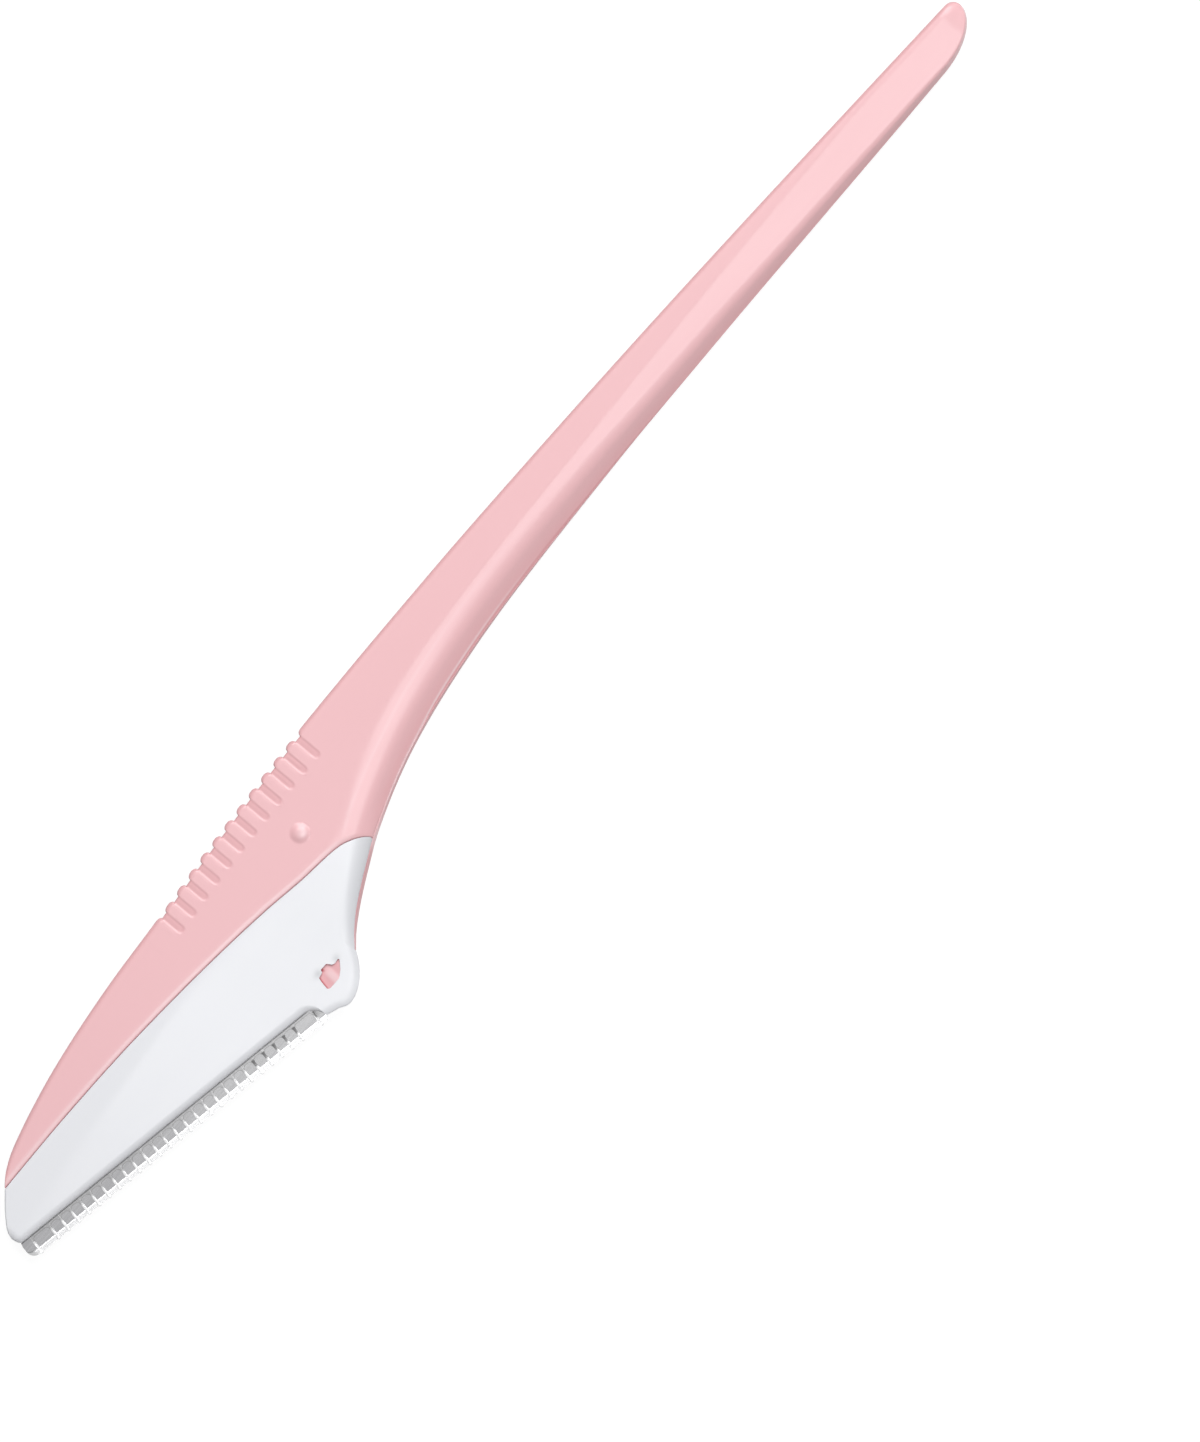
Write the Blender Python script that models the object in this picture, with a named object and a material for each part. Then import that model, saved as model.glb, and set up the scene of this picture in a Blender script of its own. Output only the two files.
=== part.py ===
"""Disposable facial razor: a moulded handle, a blade holder, a steel blade and a folded foil guard.

The plan is drawn with the toe of the head at x = 0, the tail at +x and the ribbed back at +y.
The mid-plane of the mouldings is z = 0, and both faces are alike apart from the pip on the front.
One empty carries the pieces, so that the razor lies on its back face, centred on its own box.
A second empty on it holds what follows the cutting edge: +x runs along the edge, +y into the head.
"""
import math

import bmesh
import bpy
import numpy as np

MM = 0.001

# Blade, and how it sits in the head
BLADE_LENGTH = 36.85 * MM
BLADE_HEIGHT = 4.6 * MM
BLADE_THICKNESS = 0.25 * MM
BLADE_SHOW = 1.88 * MM
BLADE_SET = 0.21 * MM
BLADE_TILT = math.radians(10.9)
BLADE_CORNER = 0.9 * MM
HONED_HEIGHT = 0.5 * MM
EDGE_THICKNESS = 0.02 * MM
TOE_SLANT = 1.05 * MM

# Folded foil guard
FOIL_THICKNESS = 0.08 * MM
FOIL_LEG = 4.1 * MM
FOLD_PAST_EDGE = 0.08 * MM
GUARD_START = 1.05 * MM
GUARD_SHORT = 0.75 * MM
RIB_WIDTH = 0.28 * MM
WINDOW_PITCH = 1.26 * MM
FIRST_WINDOW = 1.83 * MM
LAST_WINDOW = 2.1 * MM
WINDOW_HEIGHT = 1.5 * MM
WINDOW_ROUND = 0.36 * MM

# Pegs that cross the slit and lock the blade and its guard
PEG_COUNT = 4
PEG_WIDTH = 1.0 * MM
PEG_LEVEL = 3.1 * MM
PEG_INSET = 4.0 * MM

# Plan of the head and the handle
TOE_LIP_DEPTH = 6.53 * MM
LOBE_LENGTH = 6.55 * MM
LOBE_DROP = 1.0 * MM
HEEL_LENGTH = 9.3 * MM
HANDLE_LENGTH = 98.0 * MM
NECK_DEPTH = 7.82 * MM
WAIST_DEPTH = 2.08 * MM
BACK_HEIGHT = 4.82 * MM
NOSE_START = 0.1 * MM
NOSE_CORNER = 0.4 * MM
ARCH_LENGTH = 1.35 * MM
TAIL_SWEEP = 6.0 * MM
TAIL_CORNER = 1.0 * MM
TAIL_TIP_HEIGHT = 0.9 * MM

# Thickness and roundings of the mouldings
THICKNESS = 4.2 * MM
TOE_THICKNESS = 2.6 * MM
TAPER_LENGTH = 32.0 * MM
FACET_TURN = 28.0 * MM
SIDE_ROUND = 2.75 * MM
BACK_ROUND = 0.45 * MM
NOSE_ROUND = 0.8 * MM
TAIL_ROUND = 1.5 * MM
LIP_WALL = 0.25 * MM
SPINE_EDGE = 0.2 * MM
SEAM_STEP = 0.1 * MM

# Tongue of the handle, the pocket that it fills, and the catches
TONGUE_THICKNESS = 1.2 * MM
TONGUE_START = 4.6 * MM
TONGUE_ROOT = 0.6 * MM
POCKET_WEB = 0.55 * MM
FLANGE_WIDTH = 0.45 * MM
FLANGE_LENGTH = 55.0 * MM
FLANGE_TAPER = 3.0 * MM
LOBE_WALL = 1.9 * MM
LEG_CORNER = 0.5 * MM
LEG_SOLE = 1.85 * MM
LEG_HEEL_INSET = 1.15 * MM
LEG_HEEL_RISE = 0.83 * MM
CATCH_INSET = 0.5 * MM
CATCH_LENGTH = 3.1 * MM
CATCH_HEIGHT = 1.85 * MM
CATCH_FOOT = 0.5 * MM
CATCH_SUNK = 0.12 * MM
CATCH_GAP = 0.12 * MM

# Grip grooves and pip
GROOVE_COUNT = 12
GROOVE_PITCH = 1.936 * MM
GROOVE_WIDTH = 0.78 * MM
GROOVE_DEPTH = 0.45 * MM
GROOVE_REACH_TOE = 2.75 * MM
GROOVE_REACH_TAIL = 3.12 * MM
GRIP_PAST_NECK = 2.75 * MM
RIB_TIP_ROUND = 0.36 * MM
PIP_WIDTH = 1.9 * MM
PIP_HEIGHT = 0.35 * MM
PIP_FROM_NECK = 4.0 * MM
PIP_DEPTH = 1.7 * MM

# Clearances between pieces, and the overrun of every cut
FIT_GAP = 0.05 * MM
SEAM_GAP = 0.1 * MM
OVERRUN = 2.0 * MM

# Slopes as rise over run, and other shares of the sizes that they follow
CHEEK_FALL_SHARE = 0.1
BACK_FALL_SHARE = 0.085
END_SHARE = 0.5
TIP_DEPTH_SHARE = 0.865
LOBE_STEP_SHARE = 0.8
FLANGE_START_SHARE = 0.45
FLANGE_END_SHARE = 0.85
SIDE_LIMIT_SHARE = 0.45
CREASE_LIMIT_SHARE = 0.05
BACK_LIMIT_SHARE = 0.25
RIM_LIMIT_SHARE = 0.7
BLUNT_SHARE = 0.995

# Outlines as shares: along the head, the lobe or the handle, then across it
NOSE_SHARES = (
    (0.0019, 0.862), (0.0023, 0.842), (0.0067, 0.747), (0.0192, 0.628), (0.0385, 0.479),
    (0.0577, 0.352), (0.0769, 0.227), (0.0962, 0.130), (0.125, 0.031))
BACK_HEAD_SHARES = (
    (0.163, 0.079), (0.212, 0.203), (0.288, 0.367), (0.385, 0.512), (0.5, 0.633), (0.625, 0.712),
    (0.769, 0.846), (0.904, 0.923), (1.0, 0.963))
BACK_HANDLE_SHARES = (
    (0.061, 0.988), (0.143, 1.0), (0.245, 0.992), (0.388, 0.934), (0.541, 0.836), (0.694, 0.705),
    (0.847, 0.550), (1.0, 0.385))
SPINE_HEEL_SHARES = ((0.0, 0.0), (0.14, 0.200), (0.355, 0.435), (0.57, 0.637), (0.785, 0.822))
SPINE_HANDLE_SHARES = (
    (0.0, 1.0), (0.0204, 0.862), (0.051, 0.683), (0.0816, 0.535), (0.112, 0.420), (0.143, 0.330),
    (0.184, 0.236), (0.235, 0.148), (0.286, 0.094), (0.388, 0.036), (0.49, 0.004), (0.61, 0.0),
    (0.76, 0.015), (0.9, 0.03), (1.0, 0.032))
LOBE_SHARES = (
    (0.0, 0.0), (0.13, 0.33), (0.22, 0.55), (0.283, 0.85), (0.375, 1.0), (0.466, 0.93),
    (0.573, 0.70), (0.664, 0.40), (0.756, -0.02), (0.847, -0.55), (0.924, -1.1), (1.0, -1.8))
SEAM_SHARES = (
    (-0.1, 0.256), (0.066, 0.256), (0.192, 0.252), (0.308, 0.265), (0.404, 0.288), (0.481, 0.320),
    (0.577, 0.371), (0.673, 0.435), (0.769, 0.515), (0.865, 0.620), (0.923, 0.665), (0.952, 0.703))
SEAM_HOOK_SHARES = ((0.973, 0.765), (0.988, 0.832), (0.998, 0.895), (1.004, 0.960))
CREASE_HEAD_SHARES = (
    (0.0, 0.256), (0.192, 0.252), (0.404, 0.288), (0.577, 0.371), (0.769, 0.515), (0.865, 0.607),
    (0.923, 0.633), (0.962, 0.601), (1.0, 0.524))
CREASE_HANDLE_SHARES = (
    (0.0306, 0.345), (0.0612, 0.192), (0.0918, 0.079), (0.133, -0.019), (0.184, -0.090),
    (0.286, -0.160), (0.388, -0.185), (0.541, -0.220), (0.694, -0.240), (0.847, -0.237),
    (1.0, -0.185))
SIDE_HEAD_SHARES = (
    (0.0, 0.22), (0.673, 0.235), (0.712, 0.27), (0.74, 0.33), (0.769, 0.42), (0.798, 0.56),
    (0.821, 0.655), (0.846, 0.67), (0.885, 0.73), (0.923, 0.80), (0.962, 0.87), (1.0, 0.87))
SIDE_HANDLE_SHARES = (
    (0.0306, 0.87), (0.0816, 0.93), (0.133, 0.98), (0.184, 1.0), (0.286, 0.98), (0.388, 0.93),
    (0.49, 0.76), (0.592, 0.69), (0.694, 0.545), (0.796, 0.43), (0.898, 0.30), (1.0, 0.25))
TOE_END_SHARES = ((0.0, 0.75), (0.57, 1.22))
CATCH_SHARES = (
    (0.0, 0.1), (0.1, 0.0), (0.5, 0.0), (0.74, 0.22), (1.0, 0.66), (0.72, 0.74), (0.62, 0.92),
    (0.4, 1.0), (0.28, 0.88), (0.06, 0.78))

# Finishes: name, colour, roughness and metallic share
HANDLE_FINISH = ("rose_plastic", (0.88, 0.53, 0.56), 0.3, 0.0)
HOLDER_FINISH = ("white_plastic", (0.84, 0.85, 0.88), 0.3, 0.0)
BLADE_FINISH = ("blade_steel", (0.55, 0.55, 0.56), 0.25, 1.0)
GUARD_FINISH = ("guard_foil", (0.72, 0.72, 0.73), 0.3, 1.0)

# Edges sharper than this stay sharp in the shading
SHARP_ANGLE = math.radians(30)

# Facets in round stretches, and stations along each stretch of the mouldings
NOSE_STRETCH = 4.5 * MM
ARC_STEPS = 6
SIDE_STEPS = 5
BACK_STEPS = 3
PEG_SIDES = 16
PIP_SIDES = 20
NOSE_STATIONS = 10
LIP_STATIONS = 10
ARCH_STATIONS = 6
LOBE_STATIONS = 14
HEEL_STATIONS = 8
HANDLE_STATIONS = 26
TAIL_STATIONS = 9

# Values worked out from the sizes above
BLADE_LINE = np.array((math.cos(BLADE_TILT), -math.sin(BLADE_TILT)))
BLADE_UP = np.array((math.sin(BLADE_TILT), math.cos(BLADE_TILT)))
LIP_POINT = np.array((BLADE_SET, -TOE_LIP_DEPTH - BLADE_SET * math.tan(BLADE_TILT)))
BLADE_ORIGIN = LIP_POINT - BLADE_UP * BLADE_SHOW
BLADE_TOP_HEEL = BLADE_ORIGIN + BLADE_LINE * BLADE_LENGTH + BLADE_UP * BLADE_HEIGHT
SLIT_END = BLADE_ORIGIN[0] + BLADE_LENGTH * BLADE_LINE[0] + SEAM_GAP
LOBE_END = SLIT_END + LOBE_LENGTH
NECK = LOBE_END + HEEL_LENGTH
LENGTH = NECK + HANDLE_LENGTH
LIP_END_DEPTH = TOE_LIP_DEPTH + SLIT_END * math.tan(BLADE_TILT)
LOBE_DEPTH = LIP_END_DEPTH + LOBE_STEP_SHARE * BLADE_SHOW
LOBE_END_DEPTH = LOBE_DEPTH + LOBE_DROP * LOBE_SHARES[-1][1]
LOWEST = LOBE_DEPTH + LOBE_DROP
FOIL_INSIDE = BLADE_THICKNESS / 2 + FIT_GAP
FOIL_OUTSIDE = FOIL_INSIDE + FOIL_THICKNESS
SLOT_HALF = FOIL_OUTSIDE + FIT_GAP
POCKET_HALF = TONGUE_THICKNESS / 2 + FIT_GAP
HOLE_WIDTH = PEG_WIDTH + 2 * FIT_GAP
LEG_START = BLADE_TOP_HEEL[0] + POCKET_WEB + FIT_GAP
LEG_FOOT = LOBE_WALL - LOWEST


def smooth_line(points, at):
    """Return the heights at `at` on a smooth curve through the points, which never overshoots."""
    along, height = np.array(points).T
    step = np.diff(along)
    rise = np.diff(height) / step
    slope = np.concatenate((rise[:1], np.zeros(len(rise) - 1), rise[-1:]))
    steady = np.flatnonzero(rise[:-1] * rise[1:] > 0)
    slope[steady + 1] = 2 / (1 / rise[steady] + 1 / rise[steady + 1])
    span = np.clip(np.searchsorted(along, at) - 1, 0, len(step) - 1)
    t = np.clip((at - along[span]) / step[span], 0, 1)
    leave = (1 + 2 * t) * height[span] + t * step[span] * slope[span]
    arrive = (3 - 2 * t) * height[span + 1] - (1 - t) * step[span] * slope[span + 1]
    return (1 - t) ** 2 * leave + t ** 2 * arrive


def placed(shares, start, length, base, rise):
    """Return the points of a table of shares, from `start` along `length` and from `base` by `rise`."""
    return [(start + along * length, base + across * rise) for along, across in shares]


def ramp(at, start, end):
    """Return 0 before start, 1 after end, and an even climb between them."""
    return np.clip((at - start) / (end - start), 0, 1)


def quarter(share):
    """Return how far a quarter ellipse has turned away after a share of its run."""
    return 1 - np.sqrt(1 - share ** 2)


def lip_line(x):
    """Lower edge of the cheeks, parallel to the cutting edge."""
    return -TOE_LIP_DEPTH - x * math.tan(BLADE_TILT)


def back_line(x):
    """Back edge, from the nose over the grip to the rounded corner of the tail."""
    points = placed(NOSE_SHARES, 0, NECK, 0, -TOE_LIP_DEPTH)
    points += placed(BACK_HEAD_SHARES, 0, NECK, 0, BACK_HEIGHT)
    points += placed(BACK_HANDLE_SHARES, NECK, HANDLE_LENGTH, 0, BACK_HEIGHT)
    line = smooth_line(points, x)
    corner = BLUNT_SHARE * ramp(x, LENGTH - TAIL_CORNER, LENGTH)
    return line - (line - TAIL_TIP_HEIGHT) * quarter(corner)


def spine_line(x):
    """Blade-side edge from the lobe up the heel, then along the handle to the swept tail."""
    points = placed(SPINE_HEEL_SHARES, LOBE_END, HEEL_LENGTH, -LOBE_END_DEPTH, LOBE_END_DEPTH - NECK_DEPTH)
    points += placed(SPINE_HANDLE_SHARES, NECK, HANDLE_LENGTH, -WAIST_DEPTH, WAIST_DEPTH - NECK_DEPTH)
    line = smooth_line(points, x)
    sweep = BLUNT_SHARE * ramp(x, LENGTH - TAIL_SWEEP, LENGTH)
    return line + (TAIL_TIP_HEIGHT - line) * quarter(sweep)


def seam_line(x):
    """Border between the handle and the holder."""
    return smooth_line(placed(SEAM_SHARES + SEAM_HOOK_SHARES, 0, NECK, 0, -NECK_DEPTH), x)


def flange_line(x):
    """Width of the thin flange that stands out along the spine and fades out on the handle."""
    grow = FLANGE_START_SHARE + (1 - FLANGE_START_SHARE) * ramp(x, LOBE_END, LOBE_END + FLANGE_TAPER)
    return FLANGE_WIDTH * grow * (1 - ramp(x, NECK, NECK + FLANGE_LENGTH))


def lower_edge(x):
    """Lower edge of the outer form: nose corner, lip, arch over the blade's heel, lobe, then spine."""
    lip = lip_line(x)
    tip = -TOE_LIP_DEPTH * TIP_DEPTH_SHARE
    nose = lip - (lip - tip) * quarter(1 - ramp(x, NOSE_START, NOSE_START + NOSE_CORNER))
    arch = lip - (LOBE_DEPTH + lip) * quarter(ramp(x, SLIT_END - ARCH_LENGTH, SLIT_END))
    lobe = smooth_line(placed(LOBE_SHARES, SLIT_END, LOBE_LENGTH, -LOBE_DEPTH, -LOBE_DROP), x)
    edge = np.where(x < NOSE_START + NOSE_CORNER, nose, arch)
    edge = np.where(x < SLIT_END, edge, lobe)
    return np.where(x <= LOBE_END, edge, spine_line(x) + flange_line(x))


def crease_line(x):
    """Crease between the back facet and the middle one, hidden under the seam on the head."""
    points = placed(CREASE_HEAD_SHARES, 0, NECK, 0, -NECK_DEPTH)
    points += placed(CREASE_HANDLE_SHARES, NECK, HANDLE_LENGTH, 0, -NECK_DEPTH)
    return smooth_line(points, x)


def side_width(x):
    """Width of the rounded side between the lower edge and the middle facet."""
    points = placed(SIDE_HEAD_SHARES, 0, NECK, 0, SIDE_ROUND)
    points += placed(SIDE_HANDLE_SHARES, NECK, HANDLE_LENGTH, 0, SIDE_ROUND)
    return smooth_line(points, x)


def half_thickness(x):
    """Half thickness at the crease: full on the handle, tapering to the toe, rounded at both ends."""
    grow = np.sin(ramp(x, 0, TAPER_LENGTH) * math.pi / 2)
    half = (TOE_THICKNESS + (THICKNESS - TOE_THICKNESS) * grow) / 2
    nose = quarter(1 - ramp(x, NOSE_START, NOSE_START + NOSE_ROUND))
    tail = quarter(ramp(x, LENGTH - TAIL_ROUND, LENGTH))
    return half * (1 - END_SHARE * nose) * (1 - END_SHARE * tail)


def rim_half(x):
    """Half thickness of the blunt lower edge, which clears the slit and the pocket inside it."""
    points = (
        (0, SLOT_HALF + LIP_WALL), (SLIT_END, SLOT_HALF + LIP_WALL), (LOBE_END, POCKET_HALF + LIP_WALL),
        (NECK, POCKET_HALF + LIP_WALL), (NECK + FLANGE_LENGTH, SPINE_EDGE), (LENGTH, SPINE_EDGE))
    return smooth_line(points, x)


def cheek_fall(x):
    """Slope of the face below the crease: steepest on the cheeks, level on the handle."""
    turn = ramp(x, NECK, NECK + FACET_TURN)
    return CHEEK_FALL_SHARE * (1 - turn * turn * (3 - 2 * turn))


def back_fall(x):
    """Slope of the back facet: level on the head and the grip, falling to the back on the handle."""
    turn = ramp(x, NECK, NECK + FACET_TURN)
    return BACK_FALL_SHARE * turn * turn * (3 - 2 * turn)


def form_sections(x, lowered):
    """Return one closed ring across the razor for each station, its faces lowered by a step."""
    low = lower_edge(x)
    high = back_line(x)
    width = high - low
    side = low + np.minimum(side_width(x), SIDE_LIMIT_SHARE * width)
    corner = np.minimum(BACK_ROUND, BACK_LIMIT_SHARE * width)
    spare = CREASE_LIMIT_SHARE * width
    crease = np.clip(crease_line(x), side + spare, high - corner - spare)
    crease_z = half_thickness(x) - lowered
    side_z = crease_z - cheek_fall(x) * (crease - side)
    back_z = crease_z - back_fall(x) * (high - crease)
    rim_z = np.minimum(rim_half(x), RIM_LIMIT_SHARE * side_z)
    front = [(low, rim_z)]
    for step in range(1, SIDE_STEPS + 1):
        angle = step / SIDE_STEPS * math.pi / 2
        front.append((side - (side - low) * math.cos(angle), rim_z + (side_z - rim_z) * math.sin(angle)))
    front.append((crease, crease_z))
    for step in range(BACK_STEPS + 1):
        angle = step / BACK_STEPS * math.pi / 2
        front.append((high - corner * (1 - math.sin(angle)), back_z - corner * (1 - math.cos(angle))))
    ring = front + [(y, -z) for y, z in reversed(front)]
    return np.stack([np.stack((x, y, z), axis=-1) for y, z in ring], axis=1)


def stations():
    """Places along x where the outer form is drawn, close together where its outline turns."""
    nose = NOSE_START + NOSE_STRETCH * np.linspace(0, 1, NOSE_STATIONS) ** 2
    arch = SLIT_END - ARCH_LENGTH
    lip = np.linspace(nose[-1], arch, LIP_STATIONS)[1:]
    turn = arch + ARCH_LENGTH * np.sin(np.linspace(0, math.pi / 2, ARCH_STATIONS))[1:-1]
    lobe = np.linspace(SLIT_END, LOBE_END, LOBE_STATIONS)
    heel = np.linspace(LOBE_END + FIT_GAP, NECK, HEEL_STATIONS)
    sweep = LENGTH - TAIL_SWEEP
    handle = np.linspace(NECK, sweep, HANDLE_STATIONS)[1:]
    tail = sweep + TAIL_SWEEP * np.sin(np.linspace(0, math.pi / 2, TAIL_STATIONS))[1:]
    return np.concatenate((nose, lip, turn, lobe, heel, handle, tail))


def widened(outline, distance):
    """Return a counterclockwise outline moved out by a distance, or in where it is negative."""
    points = np.array(outline)
    before = points - np.roll(points, 1, axis=0)
    after = np.roll(points, -1, axis=0) - points
    out_before = np.stack((before[:, 1], -before[:, 0]), axis=1)
    out_after = np.stack((after[:, 1], -after[:, 0]), axis=1)
    out_before /= np.linalg.norm(out_before, axis=1, keepdims=True)
    out_after /= np.linalg.norm(out_after, axis=1, keepdims=True)
    lean = 1 + np.sum(out_before * out_after, axis=1, keepdims=True)
    return points + distance * (out_before + out_after) / lean


def arc(centre, radius, start, end, steps=ARC_STEPS):
    """Return points on an arc from one angle to another, both in degrees."""
    angles = np.radians(np.linspace(start, end, steps + 1))
    return [(centre[0] + radius * math.cos(a), centre[1] + radius * math.sin(a)) for a in angles]


def solid(name, stacks, parent, material=None):
    """Make an object of closed bodies, one per stack of rings joined in turn and capped."""
    mesh = bpy.data.meshes.new(name)
    work = bmesh.new()
    for rings in stacks:
        rows = [[work.verts.new(point) for point in ring] for ring in rings]
        work.faces.new(reversed(rows[0]))
        work.faces.new(rows[-1])
        for row, following in zip(rows, rows[1:]):
            for index, corner in enumerate(row):
                work.faces.new((row[index - 1], corner, following[index], following[index - 1]))
    bmesh.ops.recalc_face_normals(work, faces=work.faces)
    work.to_mesh(mesh)
    work.free()
    mesh.shade_smooth()
    mesh.set_sharp_from_angle(angle=SHARP_ANGLE)
    thing = bpy.data.objects.new(name, mesh)
    thing.parent = parent
    bpy.context.scene.collection.objects.link(thing)
    if material:
        mesh.materials.append(material)
    return thing


def plates(name, outlines, low, high, parent, material=None):
    """Make an object of flat plates between two heights, one per plan outline."""
    stacks = [[[(x, y, z) for x, y in outline] for z in (low, high)] for outline in outlines]
    return solid(name, stacks, parent, material)


def along_edge(name, profiles, start, end, parent, material=None):
    """Make an object of bars that run along the cutting edge, one per profile across it."""
    stacks = [[[(x, y, z) for y, z in profile] for x in (start, end)] for profile in profiles]
    return solid(name, stacks, parent, material)


def combine(piece, tool, operation):
    """Cut a hidden tool out of a piece, or unite or intersect the two, and keep the tool as a guide."""
    tool.hide_render = True
    tool.display_type = "WIRE"
    step = piece.modifiers.new(tool.name, "BOOLEAN")
    step.operation = operation
    step.object = tool


def principled(name, colour, roughness, metallic):
    """Make a material with one Principled shader."""
    made = bpy.data.materials.new(name)
    made.use_nodes = True
    shader = made.node_tree.nodes["Principled BSDF"]
    shader.inputs["Base Color"].default_value = (*colour, 1.0)
    shader.inputs["Roughness"].default_value = roughness
    shader.inputs["Metallic"].default_value = metallic
    return made


def empty(name, location, turn=0.0, parent=None):
    """Make an empty that carries pieces, turned about z."""
    carrier = bpy.data.objects.new(name, None)
    carrier.location = location
    carrier.rotation_euler = (0.0, 0.0, turn)
    carrier.parent = parent
    bpy.context.scene.collection.objects.link(carrier)
    return carrier


def seam_outline(shift):
    """Plan of everything on the blade side of the seam, with the seam moved towards the handle."""
    hook = [(x + shift, y + shift) for x, y in placed(SEAM_HOOK_SHARES, 0, NECK, 0, -NECK_DEPTH)]
    along = NECK * np.linspace(SEAM_SHARES[0][0], SEAM_SHARES[-1][0], LIP_STATIONS + HEEL_STATIONS)
    seam = [(float(x) + shift, float(seam_line(x)) + shift) for x in along]
    below = -LOWEST - OVERRUN
    return [(seam[0][0], below), (hook[-1][0], below), *reversed(hook), *reversed(seam)]


def tongue_outline():
    """Plan of the tongue between the cheeks, its leg down into the lobe and the spine flange."""
    top = np.linspace(TONGUE_START, NECK - TONGUE_ROOT, LIP_STATIONS + HEEL_STATIONS)
    upper = [(float(x), float(seam_line(x) + TONGUE_ROOT)) for x in top]
    flange_end = NECK + FLANGE_LENGTH * FLANGE_END_SHARE
    inner = np.linspace(NECK + TONGUE_ROOT, flange_end, HANDLE_STATIONS)
    root = FLANGE_WIDTH + TONGUE_ROOT
    upper += [(float(x), float(spine_line(x) + root)) for x in inner]
    heel = np.linspace(LOBE_END + SEAM_GAP, NECK, HEEL_STATIONS)
    outer = np.concatenate((heel, inner))
    lower = [(float(x), float(spine_line(x))) for x in outer]
    rise = (BLADE_HEIGHT + POCKET_WEB - BLADE_SHOW) / math.cos(BLADE_TILT)
    sole = LEG_START + LEG_CORNER
    leg = [
        (TONGUE_START, lip_line(TONGUE_START) + rise), (LEG_START, lip_line(LEG_START) + rise),
        (LEG_START, LEG_FOOT + LEG_CORNER), (sole, LEG_FOOT), (sole + LEG_SOLE, LEG_FOOT),
        (LOBE_END - LEG_HEEL_INSET, LEG_FOOT + LEG_HEEL_RISE)]
    return leg + lower + list(reversed(upper))


def catch_outline(shrink):
    """Plan of a catch window, or of the catch inside it when shrunk."""
    left = LEG_START + CATCH_INSET
    points = placed(CATCH_SHARES, left, CATCH_LENGTH, LEG_FOOT + CATCH_FOOT, CATCH_HEIGHT)
    return widened(points, -shrink)


def catch_top():
    """Height of the catch above the mid-plane, a little below the cheek round it."""
    x = LEG_START + CATCH_INSET + CATCH_LENGTH / 2
    drop = cheek_fall(x) * (crease_line(x) - LEG_FOOT - CATCH_FOOT - CATCH_HEIGHT / 2)
    return float(half_thickness(x) - SEAM_STEP - drop - CATCH_SUNK)


def groove_outlines():
    """Plan of every grip groove: round at its inner end, flaring out between the rib tips."""
    outlines = []
    half = GROOVE_WIDTH / 2
    for index in range(GROOVE_COUNT):
        x = NECK + GRIP_PAST_NECK - index * GROOVE_PITCH
        share = index / (GROOVE_COUNT - 1)
        reach = GROOVE_REACH_TAIL + (GROOVE_REACH_TOE - GROOVE_REACH_TAIL) * share
        inner = float(back_line(x)) - reach + half
        outline = arc((x, inner), half, 180, 360)
        for side, start, end in ((1, 180, 90), (-1, 90, 0)):
            tip = x + side * (half + RIB_TIP_ROUND)
            edge = float(back_line(tip))
            flare = arc((tip, edge - RIB_TIP_ROUND), RIB_TIP_ROUND, start, end, BACK_STEPS)
            outline += flare + [(tip, edge + OVERRUN)] if side > 0 else [(tip, edge + OVERRUN)] + flare
        outlines.append(outline)
    return outlines


def grip_core_outline():
    """Plan of what the grooves leave standing under their floors."""
    last = NECK + GRIP_PAST_NECK + GROOVE_PITCH
    first = last - (GROOVE_COUNT + 1) * GROOVE_PITCH
    x = np.linspace(last, first, GROOVE_COUNT)
    top = [(float(a), float(back_line(a) - GROOVE_DEPTH)) for a in x]
    return [(first, 0.0), (last, 0.0), *top]


def blade_outline():
    """Plan of the blade: honed edge at y = 0, rounded toe corner, toe end drawn back into the head."""
    toe_end = [(s * TOE_SLANT, t * BLADE_SHOW) for s, t in reversed(TOE_END_SHARES)]
    corner = arc((BLADE_CORNER, BLADE_CORNER), BLADE_CORNER, 180, 270)
    body = [(BLADE_LENGTH, 0.0), (BLADE_LENGTH, BLADE_HEIGHT), (TOE_SLANT, BLADE_HEIGHT)]
    return corner + body + toe_end


def slot_outline():
    """Plan of the slit, which clears the blade and runs out below the lips."""
    toe_end = [(s * TOE_SLANT, t * BLADE_SHOW) for s, t in reversed(TOE_END_SHARES)]
    body = [(BLADE_LENGTH, -OVERRUN), (BLADE_LENGTH, BLADE_HEIGHT), (TOE_SLANT, BLADE_HEIGHT)]
    return widened([(0.0, -OVERRUN)] + body + toe_end, FIT_GAP)


def peg_outlines(width):
    """Plan of the pegs, or of the holes that they pass through."""
    places = np.linspace(PEG_INSET, BLADE_LENGTH - PEG_INSET, PEG_COUNT)
    turn = 360 - 360 / PEG_SIDES
    return [arc((float(x), PEG_LEVEL), width / 2, 0, turn, PEG_SIDES - 1) for x in places]


def foil_profile():
    """Section of the foil: two legs joined by a round fold just past the cutting edge."""
    centre = FOIL_INSIDE - FOLD_PAST_EDGE
    outer = arc((centre, 0.0), FOIL_OUTSIDE, 90, 270)
    inner = arc((centre, 0.0), FOIL_INSIDE, 270, 90)
    legs = [(FOIL_LEG, -FOIL_OUTSIDE), (FOIL_LEG, -FOIL_INSIDE)]
    return [(FOIL_LEG, FOIL_OUTSIDE), *outer, *legs, *inner, (FOIL_LEG, FOIL_INSIDE)]


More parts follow.
